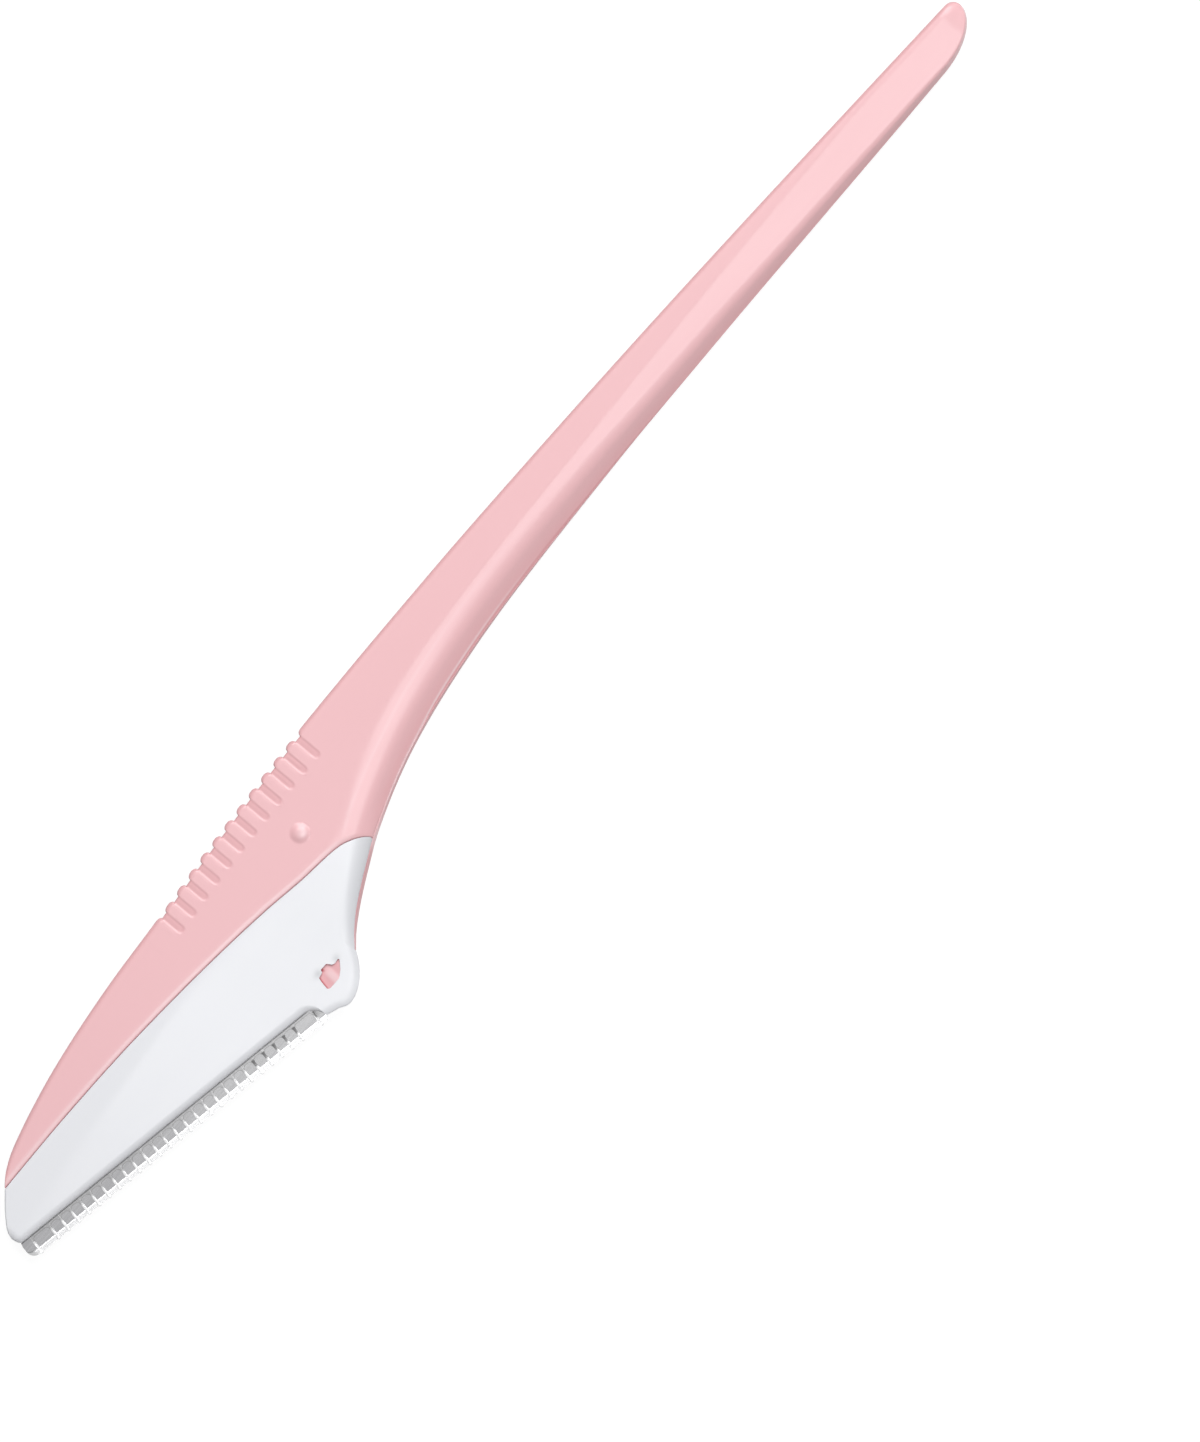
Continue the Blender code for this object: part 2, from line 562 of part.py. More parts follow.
def window_outlines():
    """Plan of the arched windows: a wide one at each end and even ones between them."""
    start = GUARD_START + RIB_WIDTH
    end = BLADE_LENGTH - GUARD_SHORT - RIB_WIDTH
    even_start = start + FIRST_WINDOW + RIB_WIDTH
    even_end = end - LAST_WINDOW - RIB_WIDTH
    count = max(round((even_end - even_start + RIB_WIDTH) / WINDOW_PITCH), 1)
    pitch = (even_end - even_start + RIB_WIDTH) / count
    spans = [(start, start + FIRST_WINDOW), (end - LAST_WINDOW, end)]
    spans += [(even_start + n * pitch, even_start + (n + 1) * pitch - RIB_WIDTH) for n in range(count)]
    crown = WINDOW_HEIGHT - WINDOW_ROUND
    outlines = []
    for left, right in spans:
        arch = arc((right - WINDOW_ROUND, crown), WINDOW_ROUND, 0, 90, BACK_STEPS)
        arch += arc((left + WINDOW_ROUND, crown), WINDOW_ROUND, 90, 180, BACK_STEPS)
        outlines.append([(left, -OVERRUN), (right, -OVERRUN), *arch])
    return outlines


def honing_profiles():
    """Sections of the two wedges that are ground away from the blade's edge."""
    face = BLADE_THICKNESS / 2
    flat = EDGE_THICKNESS / 2
    inner = [(HONED_HEIGHT, face), (0.0, flat), (-OVERRUN, flat)]
    wedge = [*inner, (-OVERRUN, OVERRUN), (HONED_HEIGHT, OVERRUN)]
    return [wedge, [(y, -z) for y, z in wedge]]


def handle(razor, plastic):
    """Coloured moulding: outer form above the seam, with tongue, flange, catches, grooves and pip."""
    piece = solid("handle", [form_sections(stations(), 0.0)], razor, plastic)
    tall = THICKNESS / 2
    above = tall + OVERRUN
    combine(piece, plates("holder_space", [seam_outline(SEAM_GAP)], -above, above, razor), "DIFFERENCE")
    half = TONGUE_THICKNESS / 2
    tongue = plates("tongue", [tongue_outline()], -half, half, razor)
    catch = catch_top()
    combine(tongue, plates("catches", [catch_outline(CATCH_GAP)], -catch, catch, razor), "UNION")
    combine(piece, tongue, "UNION")
    grooves = plates("grooves", groove_outlines(), -above, above, razor)
    floor = tall - GROOVE_DEPTH
    combine(grooves, plates("grip_core", [grip_core_outline()], -floor, floor, razor), "DIFFERENCE")
    combine(piece, grooves, "DIFFERENCE")
    combine(piece, pip(razor), "UNION")
    return piece


def pip(razor):
    """Ball that stands out of the front face as a low dome."""
    radius = (PIP_WIDTH ** 2 / 4 + PIP_HEIGHT ** 2) / (2 * PIP_HEIGHT)
    mesh = bpy.data.meshes.new("pip")
    work = bmesh.new()
    bmesh.ops.create_uvsphere(work, u_segments=PIP_SIDES, v_segments=PIP_SIDES, radius=radius)
    work.to_mesh(mesh)
    work.free()
    ball = bpy.data.objects.new("pip", mesh)
    ball.parent = razor
    ball.location = (NECK - PIP_FROM_NECK, -PIP_DEPTH, THICKNESS / 2 + PIP_HEIGHT - radius)
    bpy.context.scene.collection.objects.link(ball)
    return ball


def blade_holder(razor, seat, plastic):
    """White moulding: outer form below the seam, with pocket, slit, catch windows and pegs."""
    head = stations()
    head = head[head <= NECK]
    piece = solid("blade_holder", [form_sections(head, SEAM_STEP)], razor, plastic)
    above = THICKNESS / 2 + OVERRUN
    combine(piece, plates("head_plan", [seam_outline(0.0)], -above, above, razor), "INTERSECT")
    pocket = widened(tongue_outline(), FIT_GAP)
    combine(piece, plates("pocket", [pocket], -POCKET_HALF, POCKET_HALF, razor), "DIFFERENCE")
    combine(piece, plates("slit", [slot_outline()], -SLOT_HALF, SLOT_HALF, seat), "DIFFERENCE")
    combine(piece, plates("windows", [catch_outline(0.0)], -above, above, razor), "DIFFERENCE")
    buried = SLOT_HALF + LIP_WALL
    combine(piece, plates("pegs", peg_outlines(PEG_WIDTH), -buried, buried, seat), "UNION")
    return piece


def blade(seat, holes, steel):
    """Steel strip with a honed edge, a rounded toe corner and a hole for each peg."""
    half = BLADE_THICKNESS / 2
    piece = plates("blade", [blade_outline()], -half, half, seat, steel)
    honing = along_edge("honing", honing_profiles(), -OVERRUN, BLADE_LENGTH + OVERRUN, seat)
    combine(piece, honing, "DIFFERENCE")
    combine(piece, holes, "DIFFERENCE")
    return piece


def blade_guard(seat, holes, steel):
    """Foil folded over the edge and opened by a row of arched windows."""
    end = BLADE_LENGTH - GUARD_SHORT
    piece = along_edge("blade_guard", [foil_profile()], GUARD_START, end, seat, steel)
    windows = plates("guard_windows", window_outlines(), -OVERRUN, OVERRUN, seat)
    combine(piece, windows, "DIFFERENCE")
    combine(piece, holes, "DIFFERENCE")
    return piece


def main():
    """Clear the scene and build the razor."""
    for thing in list(bpy.data.objects):
        bpy.data.objects.remove(thing)
    razor = empty("razor", (-LENGTH / 2, (LOWEST - BACK_HEIGHT) / 2, THICKNESS / 2))
    seat = empty("blade_seat", (*BLADE_ORIGIN, 0.0), -BLADE_TILT, razor)
    holes = plates("peg_holes", peg_outlines(HOLE_WIDTH), -OVERRUN, OVERRUN, seat)
    handle(razor, principled(*HANDLE_FINISH))
    blade_holder(razor, seat, principled(*HOLDER_FINISH))
    blade(seat, holes, principled(*BLADE_FINISH))
    blade_guard(seat, holes, principled(*GUARD_FINISH))


main()
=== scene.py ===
"""Looks of a disposable face razor: moulded handle, white blade holder, ground blade and foil guard.

Every surface is worked out with numpy in millimetres, in the razor's own plan: x runs from the toe
of the head to the tail, +y points to the ribbed back, and z = 0 is the mid-plane of the mouldings.
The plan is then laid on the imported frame, so each new piece stands exactly where its solid is.
"""

import logging
import math
from dataclasses import dataclass, field
from enum import Enum
from typing import Any

import bpy
import numpy as np
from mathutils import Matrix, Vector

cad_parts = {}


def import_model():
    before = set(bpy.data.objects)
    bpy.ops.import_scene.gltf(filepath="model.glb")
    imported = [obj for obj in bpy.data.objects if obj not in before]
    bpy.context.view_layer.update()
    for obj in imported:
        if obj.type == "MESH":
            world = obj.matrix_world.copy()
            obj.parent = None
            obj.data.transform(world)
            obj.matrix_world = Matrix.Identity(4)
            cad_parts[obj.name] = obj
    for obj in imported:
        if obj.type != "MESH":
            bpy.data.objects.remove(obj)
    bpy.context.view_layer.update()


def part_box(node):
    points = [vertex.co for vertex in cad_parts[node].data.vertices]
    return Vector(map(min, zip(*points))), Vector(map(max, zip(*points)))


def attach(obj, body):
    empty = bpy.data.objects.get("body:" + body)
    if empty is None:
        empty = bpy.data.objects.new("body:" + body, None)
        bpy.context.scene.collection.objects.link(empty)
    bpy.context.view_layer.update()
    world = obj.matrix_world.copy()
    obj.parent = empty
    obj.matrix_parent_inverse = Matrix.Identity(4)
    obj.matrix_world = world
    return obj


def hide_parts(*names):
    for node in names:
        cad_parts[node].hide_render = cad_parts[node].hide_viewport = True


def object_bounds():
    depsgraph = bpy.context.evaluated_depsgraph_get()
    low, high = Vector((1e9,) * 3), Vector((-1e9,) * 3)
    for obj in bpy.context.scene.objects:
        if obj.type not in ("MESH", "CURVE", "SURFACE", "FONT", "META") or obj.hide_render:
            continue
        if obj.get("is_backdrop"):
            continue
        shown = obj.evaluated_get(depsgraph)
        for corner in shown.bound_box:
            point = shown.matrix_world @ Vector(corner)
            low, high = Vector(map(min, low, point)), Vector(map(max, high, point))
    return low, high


log = logging.getLogger("razor")

Array = np.ndarray
Places = Array | float
Pair = tuple[float, float]
Triple = tuple[float, float, float]
Points = tuple[Pair, ...]
# Middle in x and y, reach in x and y, and share of each spot.
Spots = tuple[tuple[float, float, float, float, float], ...]
# First place, last place and count of evenly spread ones.
Run = tuple[float, float, int]
# Places y and places z of some columns of a grid.
Columns = tuple[Array, Array]

MM = 0.001
SHARP_ANGLE = math.radians(38.0)
CROWDING = 2.0
FAR_BELOW = -100.0
WHITE = (1.0, 1.0, 1.0, 1.0)


class Slot(Enum):
    """Material slots of the record."""

    HANDLE = "handle_plastic"
    HOLDER = "holder_plastic"
    BLADE = "blade_steel"
    GUARD = "guard_foil"


class Mark(Enum):
    """Shares of painted highlight and painted shade that a piece stores on its points, and that its finish
    reads.
    """

    # Painted highlight: colour lightened where light would catch the surface.
    PAINTED_HIGHLIGHT = "painted_highlight"
    # Painted shade: colour darkened where shade would fall.
    PAINTED_SHADE = "painted_shade"


class Grain(Enum):
    """Which way the grinding lines of a steel piece run."""

    ALONG_EDGE = "along the cutting edge"
    ACROSS_EDGE = "across the cutting edge"


def ramp(at: Array, start: float, end: float) -> Array:
    """Return 0 before start, 1 after end, and an even climb between them."""
    return np.clip((at - start) / (end - start), 0.0, 1.0)


def between(at: Array, rise: Pair, fall: Pair) -> Array:
    """Return 1 between two stretches, with an even climb along the first and fall along the second."""
    return ramp(at, *rise) * (1.0 - ramp(at, *fall))


def ease(share: Array) -> Array:
    """Return a share of 0 to 1 bent into an S, level at both of its ends."""
    return share * share * (3.0 - 2.0 * share)


def quarter(share: Array) -> Array:
    """Return how far a quarter ellipse has turned away after a share of its run."""
    return 1.0 - np.sqrt(np.clip(1.0 - share ** 2, 0.0, 1.0))


def bell(away: Array, reach: float) -> Array:
    """Return 1 at no distance, falling along a bell that has all but ended at twice the reach."""
    return np.exp(-(away / reach) ** 2)


def blended_low(first: Array, second: Array, reach: float) -> Array:
    """Return the lower of two heights, with the crease between them rounded over a reach."""
    share = np.clip(0.5 + 0.5 * (second - first) / reach, 0.0, 1.0)
    return second + (first - second) * share - reach * share * (1.0 - share)


def turned(count: int) -> Array:
    """Return angles spread evenly over a quarter turn."""
    return np.linspace(0.0, math.pi / 2.0, count)


def spread(first: Places, last: Places, count: int, power: float = 1.0) -> Array:
    """Return places from first to last, evenly spread, or crowded at the first by a power above 1."""
    return first + (last - first) * np.linspace(0.0, 1.0, count) ** power


def spotted(x: Array, y: Array, spots: Spots) -> Array:
    """Return the strongest of several soft oval spots.

    Args:
        x: Places along the razor.
        y: Places across it.
        spots: Middle, reach in x and y, and share of each spot.

    Returns:
        Shares, which fall off from the middle of a spot along a bell.
    """
    return np.max([
        bell(x - at_x, wide) * bell(y - at_y, high) * share
        for at_x, at_y, wide, high, share in spots], axis=0)


def in_order(places: tuple[Array, ...], least: float) -> Array:
    """Return groups of places as one rising row, without those too close to the one before.

    Args:
        places: The groups, in any order.
        least: Step that two neighbours must be further apart than.

    Returns:
        The places, rounded to a tenth of a micrometre.
    """
    every = np.unique(np.round(np.concatenate(places), 4))
    return every[np.concatenate(([True], np.diff(every) > least))]


@dataclass(frozen=True)
class Line:
    """A smooth line through given points."""

    points: Points

    def at(self, x: Array) -> Array:
        """Return the line's heights, on cubic pieces that never overshoot the points.

        The slope at a point is the harmonic mean of its two neighbouring slopes, or level where
        the line turns back, and each piece is the cubic that meets both ends at their slopes.

        Args:
            x: Places along the line.

        Returns:
            One height for each place.
        """
        along, height = np.array(self.points).T
        step = np.diff(along)
        rise = np.diff(height) / step
        slope = np.concatenate((rise[:1], np.zeros(len(rise) - 1), rise[-1:]))
        steady = np.flatnonzero(rise[:-1] * rise[1:] > 0)
        slope[steady + 1] = 2.0 / (1.0 / rise[steady] + 1.0 / rise[steady + 1])
        span = np.clip(np.searchsorted(along, x) - 1, 0, len(step) - 1)
        t = np.clip((x - along[span]) / step[span], 0.0, 1.0)
        leave = (1.0 + 2.0 * t) * height[span] + t * step[span] * slope[span]
        arrive = (3.0 - 2.0 * t) * height[span + 1] - (1.0 - t) * step[span] * slope[span + 1]
        return (1.0 - t) ** 2 * leave + t ** 2 * arrive


@dataclass
class Surface:
    """Points, quads and triangles of one closed surface, in millimetres of the razor's plan."""

    points: Array
    quads: Array
    triangles: Array

    @staticmethod
    def lofted(rings: Array) -> "Surface":
        """Join closed rings in turn and close both ends with a fan to the ring's middle.

        Args:
            rings: Array of stations, points round the ring and the three axes.

        Returns:
            The closed surface, with its faces pointing out.
        """
        count, around = rings.shape[:2]
        index = np.arange(count * around).reshape(count, around)
        here, there = index[:-1], index[1:]
        quads = np.stack((here, there, np.roll(there, -1, 1), np.roll(here, -1, 1)), axis=-1)
        centres = rings[[0, -1]].mean(axis=1)
        first, last = index[0], index[-1]
        poles = count * around + np.arange(2)
        start = np.stack((first, np.roll(first, -1), np.full(around, poles[0])), axis=-1)
        end = np.stack((np.roll(last, -1), last, np.full(around, poles[1])), axis=-1)
        points = np.concatenate((rings.reshape(-1, 3), centres))
        return Surface(points, quads.reshape(-1, 4), np.concatenate((start, end))).facing_out()

    @staticmethod
    def joined(parts: "list[Surface]") -> "Surface":
        """Put several closed surfaces together.

        Args:
            parts: The surfaces.

        Returns:
            One surface, with the points of the parts in their order.
        """
        starts = np.cumsum([0] + [len(part.points) for part in parts[:-1]])
        return Surface(
            np.concatenate([part.points for part in parts]),
            np.concatenate([part.quads + start for part, start in zip(parts, starts)]),
            np.concatenate([part.triangles + start for part, start in zip(parts, starts)]))

    def facing_out(self) -> "Surface":
        """Turn the faces out, as the sign of the volume inside them tells.

        Six times the volume is the sum, over all triangles, of the first corner's dot product
        with the cross product of the other two. A quad counts as two triangles.

        Returns:
            The surface itself.
        """
        corners = self.points[np.concatenate((self.quads[:, :3], self.quads[:, (0, 2, 3)], self.triangles))]
        if np.einsum("ij,ij->", corners[:, 0], np.cross(corners[:, 1], corners[:, 2])) < 0.0:
            self.quads = self.quads[:, ::-1]
            self.triangles = self.triangles[:, ::-1]
        return self

    def mirrored(self) -> "Surface":
        """Return the surface mirrored in the mid-plane, still facing out."""
        return Surface(self.points * (1.0, 1.0, -1.0), self.quads[:, ::-1], self.triangles[:, ::-1])

    def mesh(self, name: str, origin: Array) -> bpy.types.Mesh:
        """Make a mesh of the surface, in metres.

        Args:
            name: Name of the mesh.
            origin: Where the plan's origin lies in the frame.

        Returns:
            The mesh, at its place in the frame.
        """
        made = bpy.data.meshes.new(name)
        faces = self.quads.tolist() + self.triangles.tolist()
        made.from_pydata((self.points * MM + origin).tolist(), [], faces)
        return made


def both_faces(x: Array, front: Array) -> Array:
    """Close rings with the mirror image of their front halves.

    Args:
        x: Places of the stations along the razor.
        front: Array of stations, points from the lower edge to the upper one, and y and z.

    Returns:
        Array of stations, points round the ring and the three axes.
    """
    back = front[:, ::-1] * (1.0, -1.0)
    ring = np.concatenate((front, back), axis=1)
    along = np.broadcast_to(x[:, None, None], (*ring.shape[:2], 1))
    return np.concatenate((along, ring), axis=-1)


def joined_columns(*columns: Columns) -> Array:
    """Put columns of places side by side.

    Args:
        columns: Pairs of y and z, each of any width and of one row or all rows.

    Returns:
        Array of rows, columns and the two axes y and z.
    """
    rows = max(max(len(y), len(z)) for y, z in columns)
    pairs = [np.stack(np.broadcast_arrays(y, z), axis=-1) for y, z in columns]
    return np.concatenate([pair * np.ones((rows, 1, 1)) for pair in pairs], axis=1)


def added(name: str, data: Any) -> bpy.types.Object:
    """Put a new object in the scene.

    Args:
        name: Name of the object.
        data: Mesh, lamp or camera that it holds.

    Returns:
        The object, at the origin.
    """
    made = bpy.data.objects.new(name, data)
    bpy.context.scene.collection.objects.link(made)
    return made


def smoothed(mesh: bpy.types.Mesh) -> None:
    """Shade a mesh smooth, apart from the edges that are sharper than the sharp angle."""
    mesh.shade_smooth()
    mesh.set_sharp_from_angle(angle=SHARP_ANGLE)


def marked(piece: bpy.types.Object, mark: Mark, shares: Array) -> None:
    """Store a share of 0 to 1 on each point of a piece.

    Args:
        piece: The piece.
        mark: Painted highlight where the piece is drawn brighter, painted shade where it is drawn darker.
        shares: One share for each point.
    """
    layer = piece.data.attributes.new(mark.value, "FLOAT", "POINT")
    layer.data.foreach_set("value", np.ascontiguousarray(shares, dtype=np.float32))


@dataclass
class RazorPlan:
    """Outlines and thicknesses that the two mouldings share, in millimetres, and their place."""

    # Length of the razor, and the places at which its form changes.
    length: float = 149.99
    neck: float = 51.99
    head_end: float = 44.0
    lobe_end: float = 42.69
    lobe_margin: float = 0.005
    slit_end: float = 36.14
    tilt: float = math.radians(10.9)
    lip_at_toe: float = -6.53
    blade_show: float = 1.88
    blade_set: float = 0.214
    # Thickness, slopes of the facets, and roundings of creases and edges.
    thickness: float = 4.2
    toe_thickness: float = 2.6
    taper: float = 32.0
    facet_turn: float = 28.0
    facet_start: float = 50.0
    facet_end: float = 56.0
    cheek_slope: float = 0.1
    back_slope: float = 0.085
    bar_steepening: float = 1.5
    crease_round: float = 0.05
    crease_limit: float = 0.05
    back_round: float = 0.5
    back_limit: float = 0.25
    rim_limit: float = 0.7
    side_limit: float = 0.45
    lip_band: float = 1.3
    # Rounded toe, arch before the heel lobe, and swept tail.
    nose_start: float = 0.1
    nose_corner: float = 0.4
    nose_round: float = 0.8
    nose_fall: float = 0.35
    nose_tip: float = -5.648
    arch_run: float = 1.35
    arch_foot: float = -14.99
    tail_sweep: float = 6.0
    tail_corner: float = 1.0
    tail_round: float = 2.4
    tail_fall: float = 0.4
    tail_height: float = 0.9
    blunt: float = 0.998
    # Thin flange along the spine.
    flange: float = 0.37
    flange_run: float = 55.0
    flange_taper: float = 3.0
    flange_at_lobe: float = 0.45
    # Outlines, seam and crease in plan.
    back: Line = Line((
        (0.1, -5.629), (0.12, -5.5), (0.35, -4.88), (1.0, -4.1), (2.0, -3.13), (3.0, -2.3), (4.0, -1.48),
        (5.0, -0.85), (6.5, -0.2), (8.5, 0.38), (11.0, 0.98), (15.0, 1.77), (20.0, 2.47), (26.0, 3.05),
        (32.5, 3.43), (40.0, 4.08), (47.0, 4.45), (52.0, 4.64), (58.0, 4.76), (66.0, 4.82), (76.0, 4.78),
        (90.0, 4.5), (105.0, 4.03), (120.0, 3.4), (135.0, 2.65), (150.0, 1.86)))
    spine: Line = Line((
        (42.69, -13.19), (44.0, -12.12), (46.0, -10.85), (48.0, -9.77), (50.0, -8.78), (52.0, -7.82),
        (54.0, -7.03), (57.0, -6.0), (60.0, -5.15), (63.0, -4.49), (66.0, -3.97), (70.0, -3.43),
        (75.0, -2.93), (80.0, -2.62), (90.0, -2.29), (100.0, -2.1), (112.0, -2.08), (126.5, -2.17),
        (140.0, -2.25), (150.0, -2.26)))
    lobe: Line = Line((
        (36.14, -14.99), (37.0, -15.32), (37.6, -15.54), (38.0, -15.84), (38.6, -15.985),
        (39.2, -15.92), (39.9, -15.69), (40.5, -15.39), (41.1, -14.97), (41.7, -14.44),
        (42.2, -13.89), (42.69, -13.19)))
    seam: Line = Line((
        (-5.2, -2.0), (3.43, -2.0), (10.0, -1.97), (16.0, -2.07), (21.0, -2.25), (25.0, -2.5),
        (30.0, -2.9), (35.0, -3.4), (40.0, -4.03), (45.0, -4.85), (48.0, -5.2), (49.5, -5.5),
        (50.6, -5.98), (51.4, -6.51), (51.9, -7.0), (52.2, -7.51)))
    crease: Line = Line((
        (0.0, -5.9), (5.0, -5.55), (10.0, -4.95), (15.0, -4.5), (20.0, -4.1), (26.0, -3.6),
        (31.0, -3.4), (36.0, -3.7), (40.0, -4.03), (45.0, -4.75), (48.0, -4.95), (50.0, -4.7),
        (52.0, -4.1), (55.0, -2.7), (58.0, -1.5), (61.0, -0.62), (65.0, 0.15), (70.0, 0.7),
        (80.0, 1.25), (90.0, 1.45), (105.0, 1.72), (120.0, 1.88), (135.0, 1.85), (150.0, 1.45)))
    # Width of the bent side, height of the blunt rim, and how the side falls across the bar.
    side: Line = Line((
        (0.0, 0.605), (35.0, 0.65), (37.0, 0.74), (38.5, 0.91), (40.0, 1.16), (41.5, 1.54),
        (42.7, 1.8), (44.0, 1.84), (46.0, 2.0), (48.0, 2.2), (50.0, 2.39), (55.0, 2.39), (60.0, 2.56),
        (65.0, 2.7), (70.0, 2.75), (80.0, 2.8), (90.0, 2.66), (100.0, 2.2), (110.0, 1.95),
        (120.0, 1.55), (130.0, 1.2), (140.0, 0.8), (144.5, 0.55), (147.5, 0.34), (150.0, 0.3)))
    rim: Line = Line((
        (0.0, 0.555), (36.14, 0.555), (42.69, 0.9), (51.99, 0.8), (84.0, 0.45), (107.0, 0.4),
        (130.0, 0.6), (150.0, 0.75)))
    bar_fall: Line = Line((
        (0.0, 0.0), (0.1, 0.012), (0.2, 0.034), (0.3, 0.069), (0.4, 0.129), (0.5, 0.229), (0.6, 0.379),
        (0.8, 0.69), (1.0, 1.0)))
    # Place of the plan's origin in the frame, in metres.
    origin: Array = field(default_factory=lambda: np.zeros(3))

    def place(self) -> None:
        """Set where the plan's origin lies in the frame, in metres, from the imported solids."""
        low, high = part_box("handle")
        lobe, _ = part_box("blade_holder")
        lowest = min(y for _, y in self.lobe.points) - self.lobe_margin
        middle = low.z + self.thickness / 2.0 * MM
        self.origin = np.array((high.x - self.length * MM, lobe.y - lowest * MM, middle))

    def lip(self, x: Array) -> Array:
        """Return the lower edge of the cheeks, parallel to the cutting edge."""
        return self.lip_at_toe - x * math.tan(self.tilt)

    def back_edge(self, x: Array) -> Array:
        """Return the back outline, down to the rounded corner of the tail.

        Args:
            x: Places along the razor.

        Returns:
            Places across it.
        """
        line = self.back.at(x)
        corner = self.blunt * ramp(x, self.length - self.tail_corner, self.length)
        return line - (line - self.tail_height) * quarter(corner)

    def spine_edge(self, x: Array) -> Array:
        """Return the outline of the spine, up to the swept end of the tail.

        Args:
            x: Places along the razor.

        Returns:
            Places across it.
        """
        line = self.spine.at(x)
        sweep = self.blunt * ramp(x, self.length - self.tail_sweep, self.length)
        return line + (self.tail_height - line) * quarter(sweep)

    def flange_width(self, x: Array) -> Array:
        """Return how far the thin flange stands out along the spine.

        Args:
            x: Places along the razor.

        Returns:
            Widths, which grow from the lobe on and run out along the bar.
        """
        start = self.flange_at_lobe
        grow = start + (1.0 - start) * ramp(x, self.lobe_end, self.lobe_end + self.flange_taper)
        return self.flange * grow * (1.0 - ramp(x, self.neck, self.neck + self.flange_run))

    def lower_edge(self, x: Array) -> Array:
        """Return the lower edge of the outer form: nose, lip, arch, lobe, then along the flange.

        Args:
            x: Places along the razor.

        Returns:
            Places across it.
        """
        lip = self.lip(x)
        turn = 1.0 - ramp(x, self.nose_start, self.nose_start + self.nose_corner)
        nose = lip - (lip - self.nose_tip) * quarter(turn)
        bend = quarter(ramp(x, self.slit_end - self.arch_run, self.slit_end))
        arch = lip + (self.arch_foot - lip) * bend
        edge = np.where(x < self.nose_start + self.nose_corner, nose, arch)
        edge = np.where(x < self.slit_end, edge, self.lobe.at(x))
        return np.where(x <= self.lobe_end, edge, self.spine_edge(x) + self.flange_width(x))

    def half_thickness(self, x: Array) -> Array:
        """Return half the thickness at the crease, thinner at the toe and rounded at both ends.

        Args:
            x: Places along the razor.

        Returns:
            Heights above the mid-plane, which grow from the toe along a quarter of a sine wave.
        """
        grow = np.sin(ramp(x, 0.0, self.taper) * math.pi / 2.0)
        half = (self.toe_thickness + (self.thickness - self.toe_thickness) * grow) / 2.0
        nose = quarter(1.0 - ramp(x, self.nose_start, self.nose_start + self.nose_round))
        tail = quarter(ramp(x, self.length - self.tail_round, self.length))
        return half * (1.0 - self.nose_fall * nose) * (1.0 - self.tail_fall * tail)

    def side_width(self, x: Array, width: Array) -> Array:
        """Return how wide the bent side is, with a wider soft band along the lip of the cheeks."""
        on_lip = 1.0 - ramp(x, self.slit_end, self.lobe_end)
        return np.minimum(self.side.at(x) * (1.0 + (self.lip_band - 1.0) * on_lip), self.side_limit * width)

    def face(self, x: Array, y: Array, lowered: float) -> Array:
        """Return the height of the outer form's front face over a place in plan.

        Two planes meet in a softened crease. Beside the lower edge they are bent down to the blunt
        rim: on the head along a quarter ellipse, and on the bar along a side that is flatter at
        first and steeper from half its width on.

        Args:
            x: Places along the razor.
            y: Places across it.
            lowered: How far the face lies below that of the handle.

        Returns:
            Heights above the mid-plane.
        """
        low, high = self.lower_edge(x), self.back_edge(x)
        width = high - low
        side = low + self.side_width(x, width)
        corner = np.minimum(self.back_round, self.back_limit * width)
        spare = self.crease_limit * width
        crease = np.clip(self.crease.at(x), side + spare, high - corner - spare)
        crease = np.where(x < self.head_end, self.crease.at(x), crease)
        top = self.half_thickness(x) - lowered
        turn = ease(ramp(x, self.neck, self.neck + self.facet_turn))
        middle = top - self.cheek_slope * (1.0 + (self.bar_steepening - 1.0) * turn) * (crease - y)
        upper = top - self.back_slope * turn * (y - crease)
        plane = blended_low(middle, upper, self.crease_round)
        rim = np.minimum(self.rim.at(x), self.rim_limit * plane)
        away = np.clip((side - y) / (side - low), 0.0, 1.0)
        on_bar = ease(ramp(x, self.facet_start, self.facet_end))
        fall = quarter(away) + (self.bar_fall.at(away) - quarter(away)) * on_bar
        return plane - (plane - rim) * fall

    def seen_at(self, mesh: bpy.types.Mesh) -> Array:
        """Find the places in plan of a mesh's points.

        Args:
            mesh: A mesh in the frame.

        Returns:
            One row for x and one for y, in millimetres.
        """
        points = np.empty(3 * len(mesh.vertices), dtype=np.float32)
        mesh.vertices.foreach_get("co", points)
        return ((points.reshape(-1, 3) - self.origin) / MM).T[:2]

    def piece(self, name: str, surface: Surface, slot: Slot, *nodes: str) -> bpy.types.Object:
        """Make a surface a smooth-shaded piece of the frame that stands for its solids.

        Args:
            name: Name of the piece.
            surface: Its surface in the plan's millimetres.
            slot: Material slot, which is not used.
            nodes: Solids that it stands for.

        Returns:
            The object, which lies at the origin with its place in its mesh.
        """
        mesh = surface.mesh(name, self.origin)
        smoothed(mesh)
        thing = added(name, mesh)
        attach(thing, "root")
        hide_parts(*nodes)
        log.info("%s: %d points, %d faces", name, len(mesh.vertices), len(mesh.polygons))
        return thing


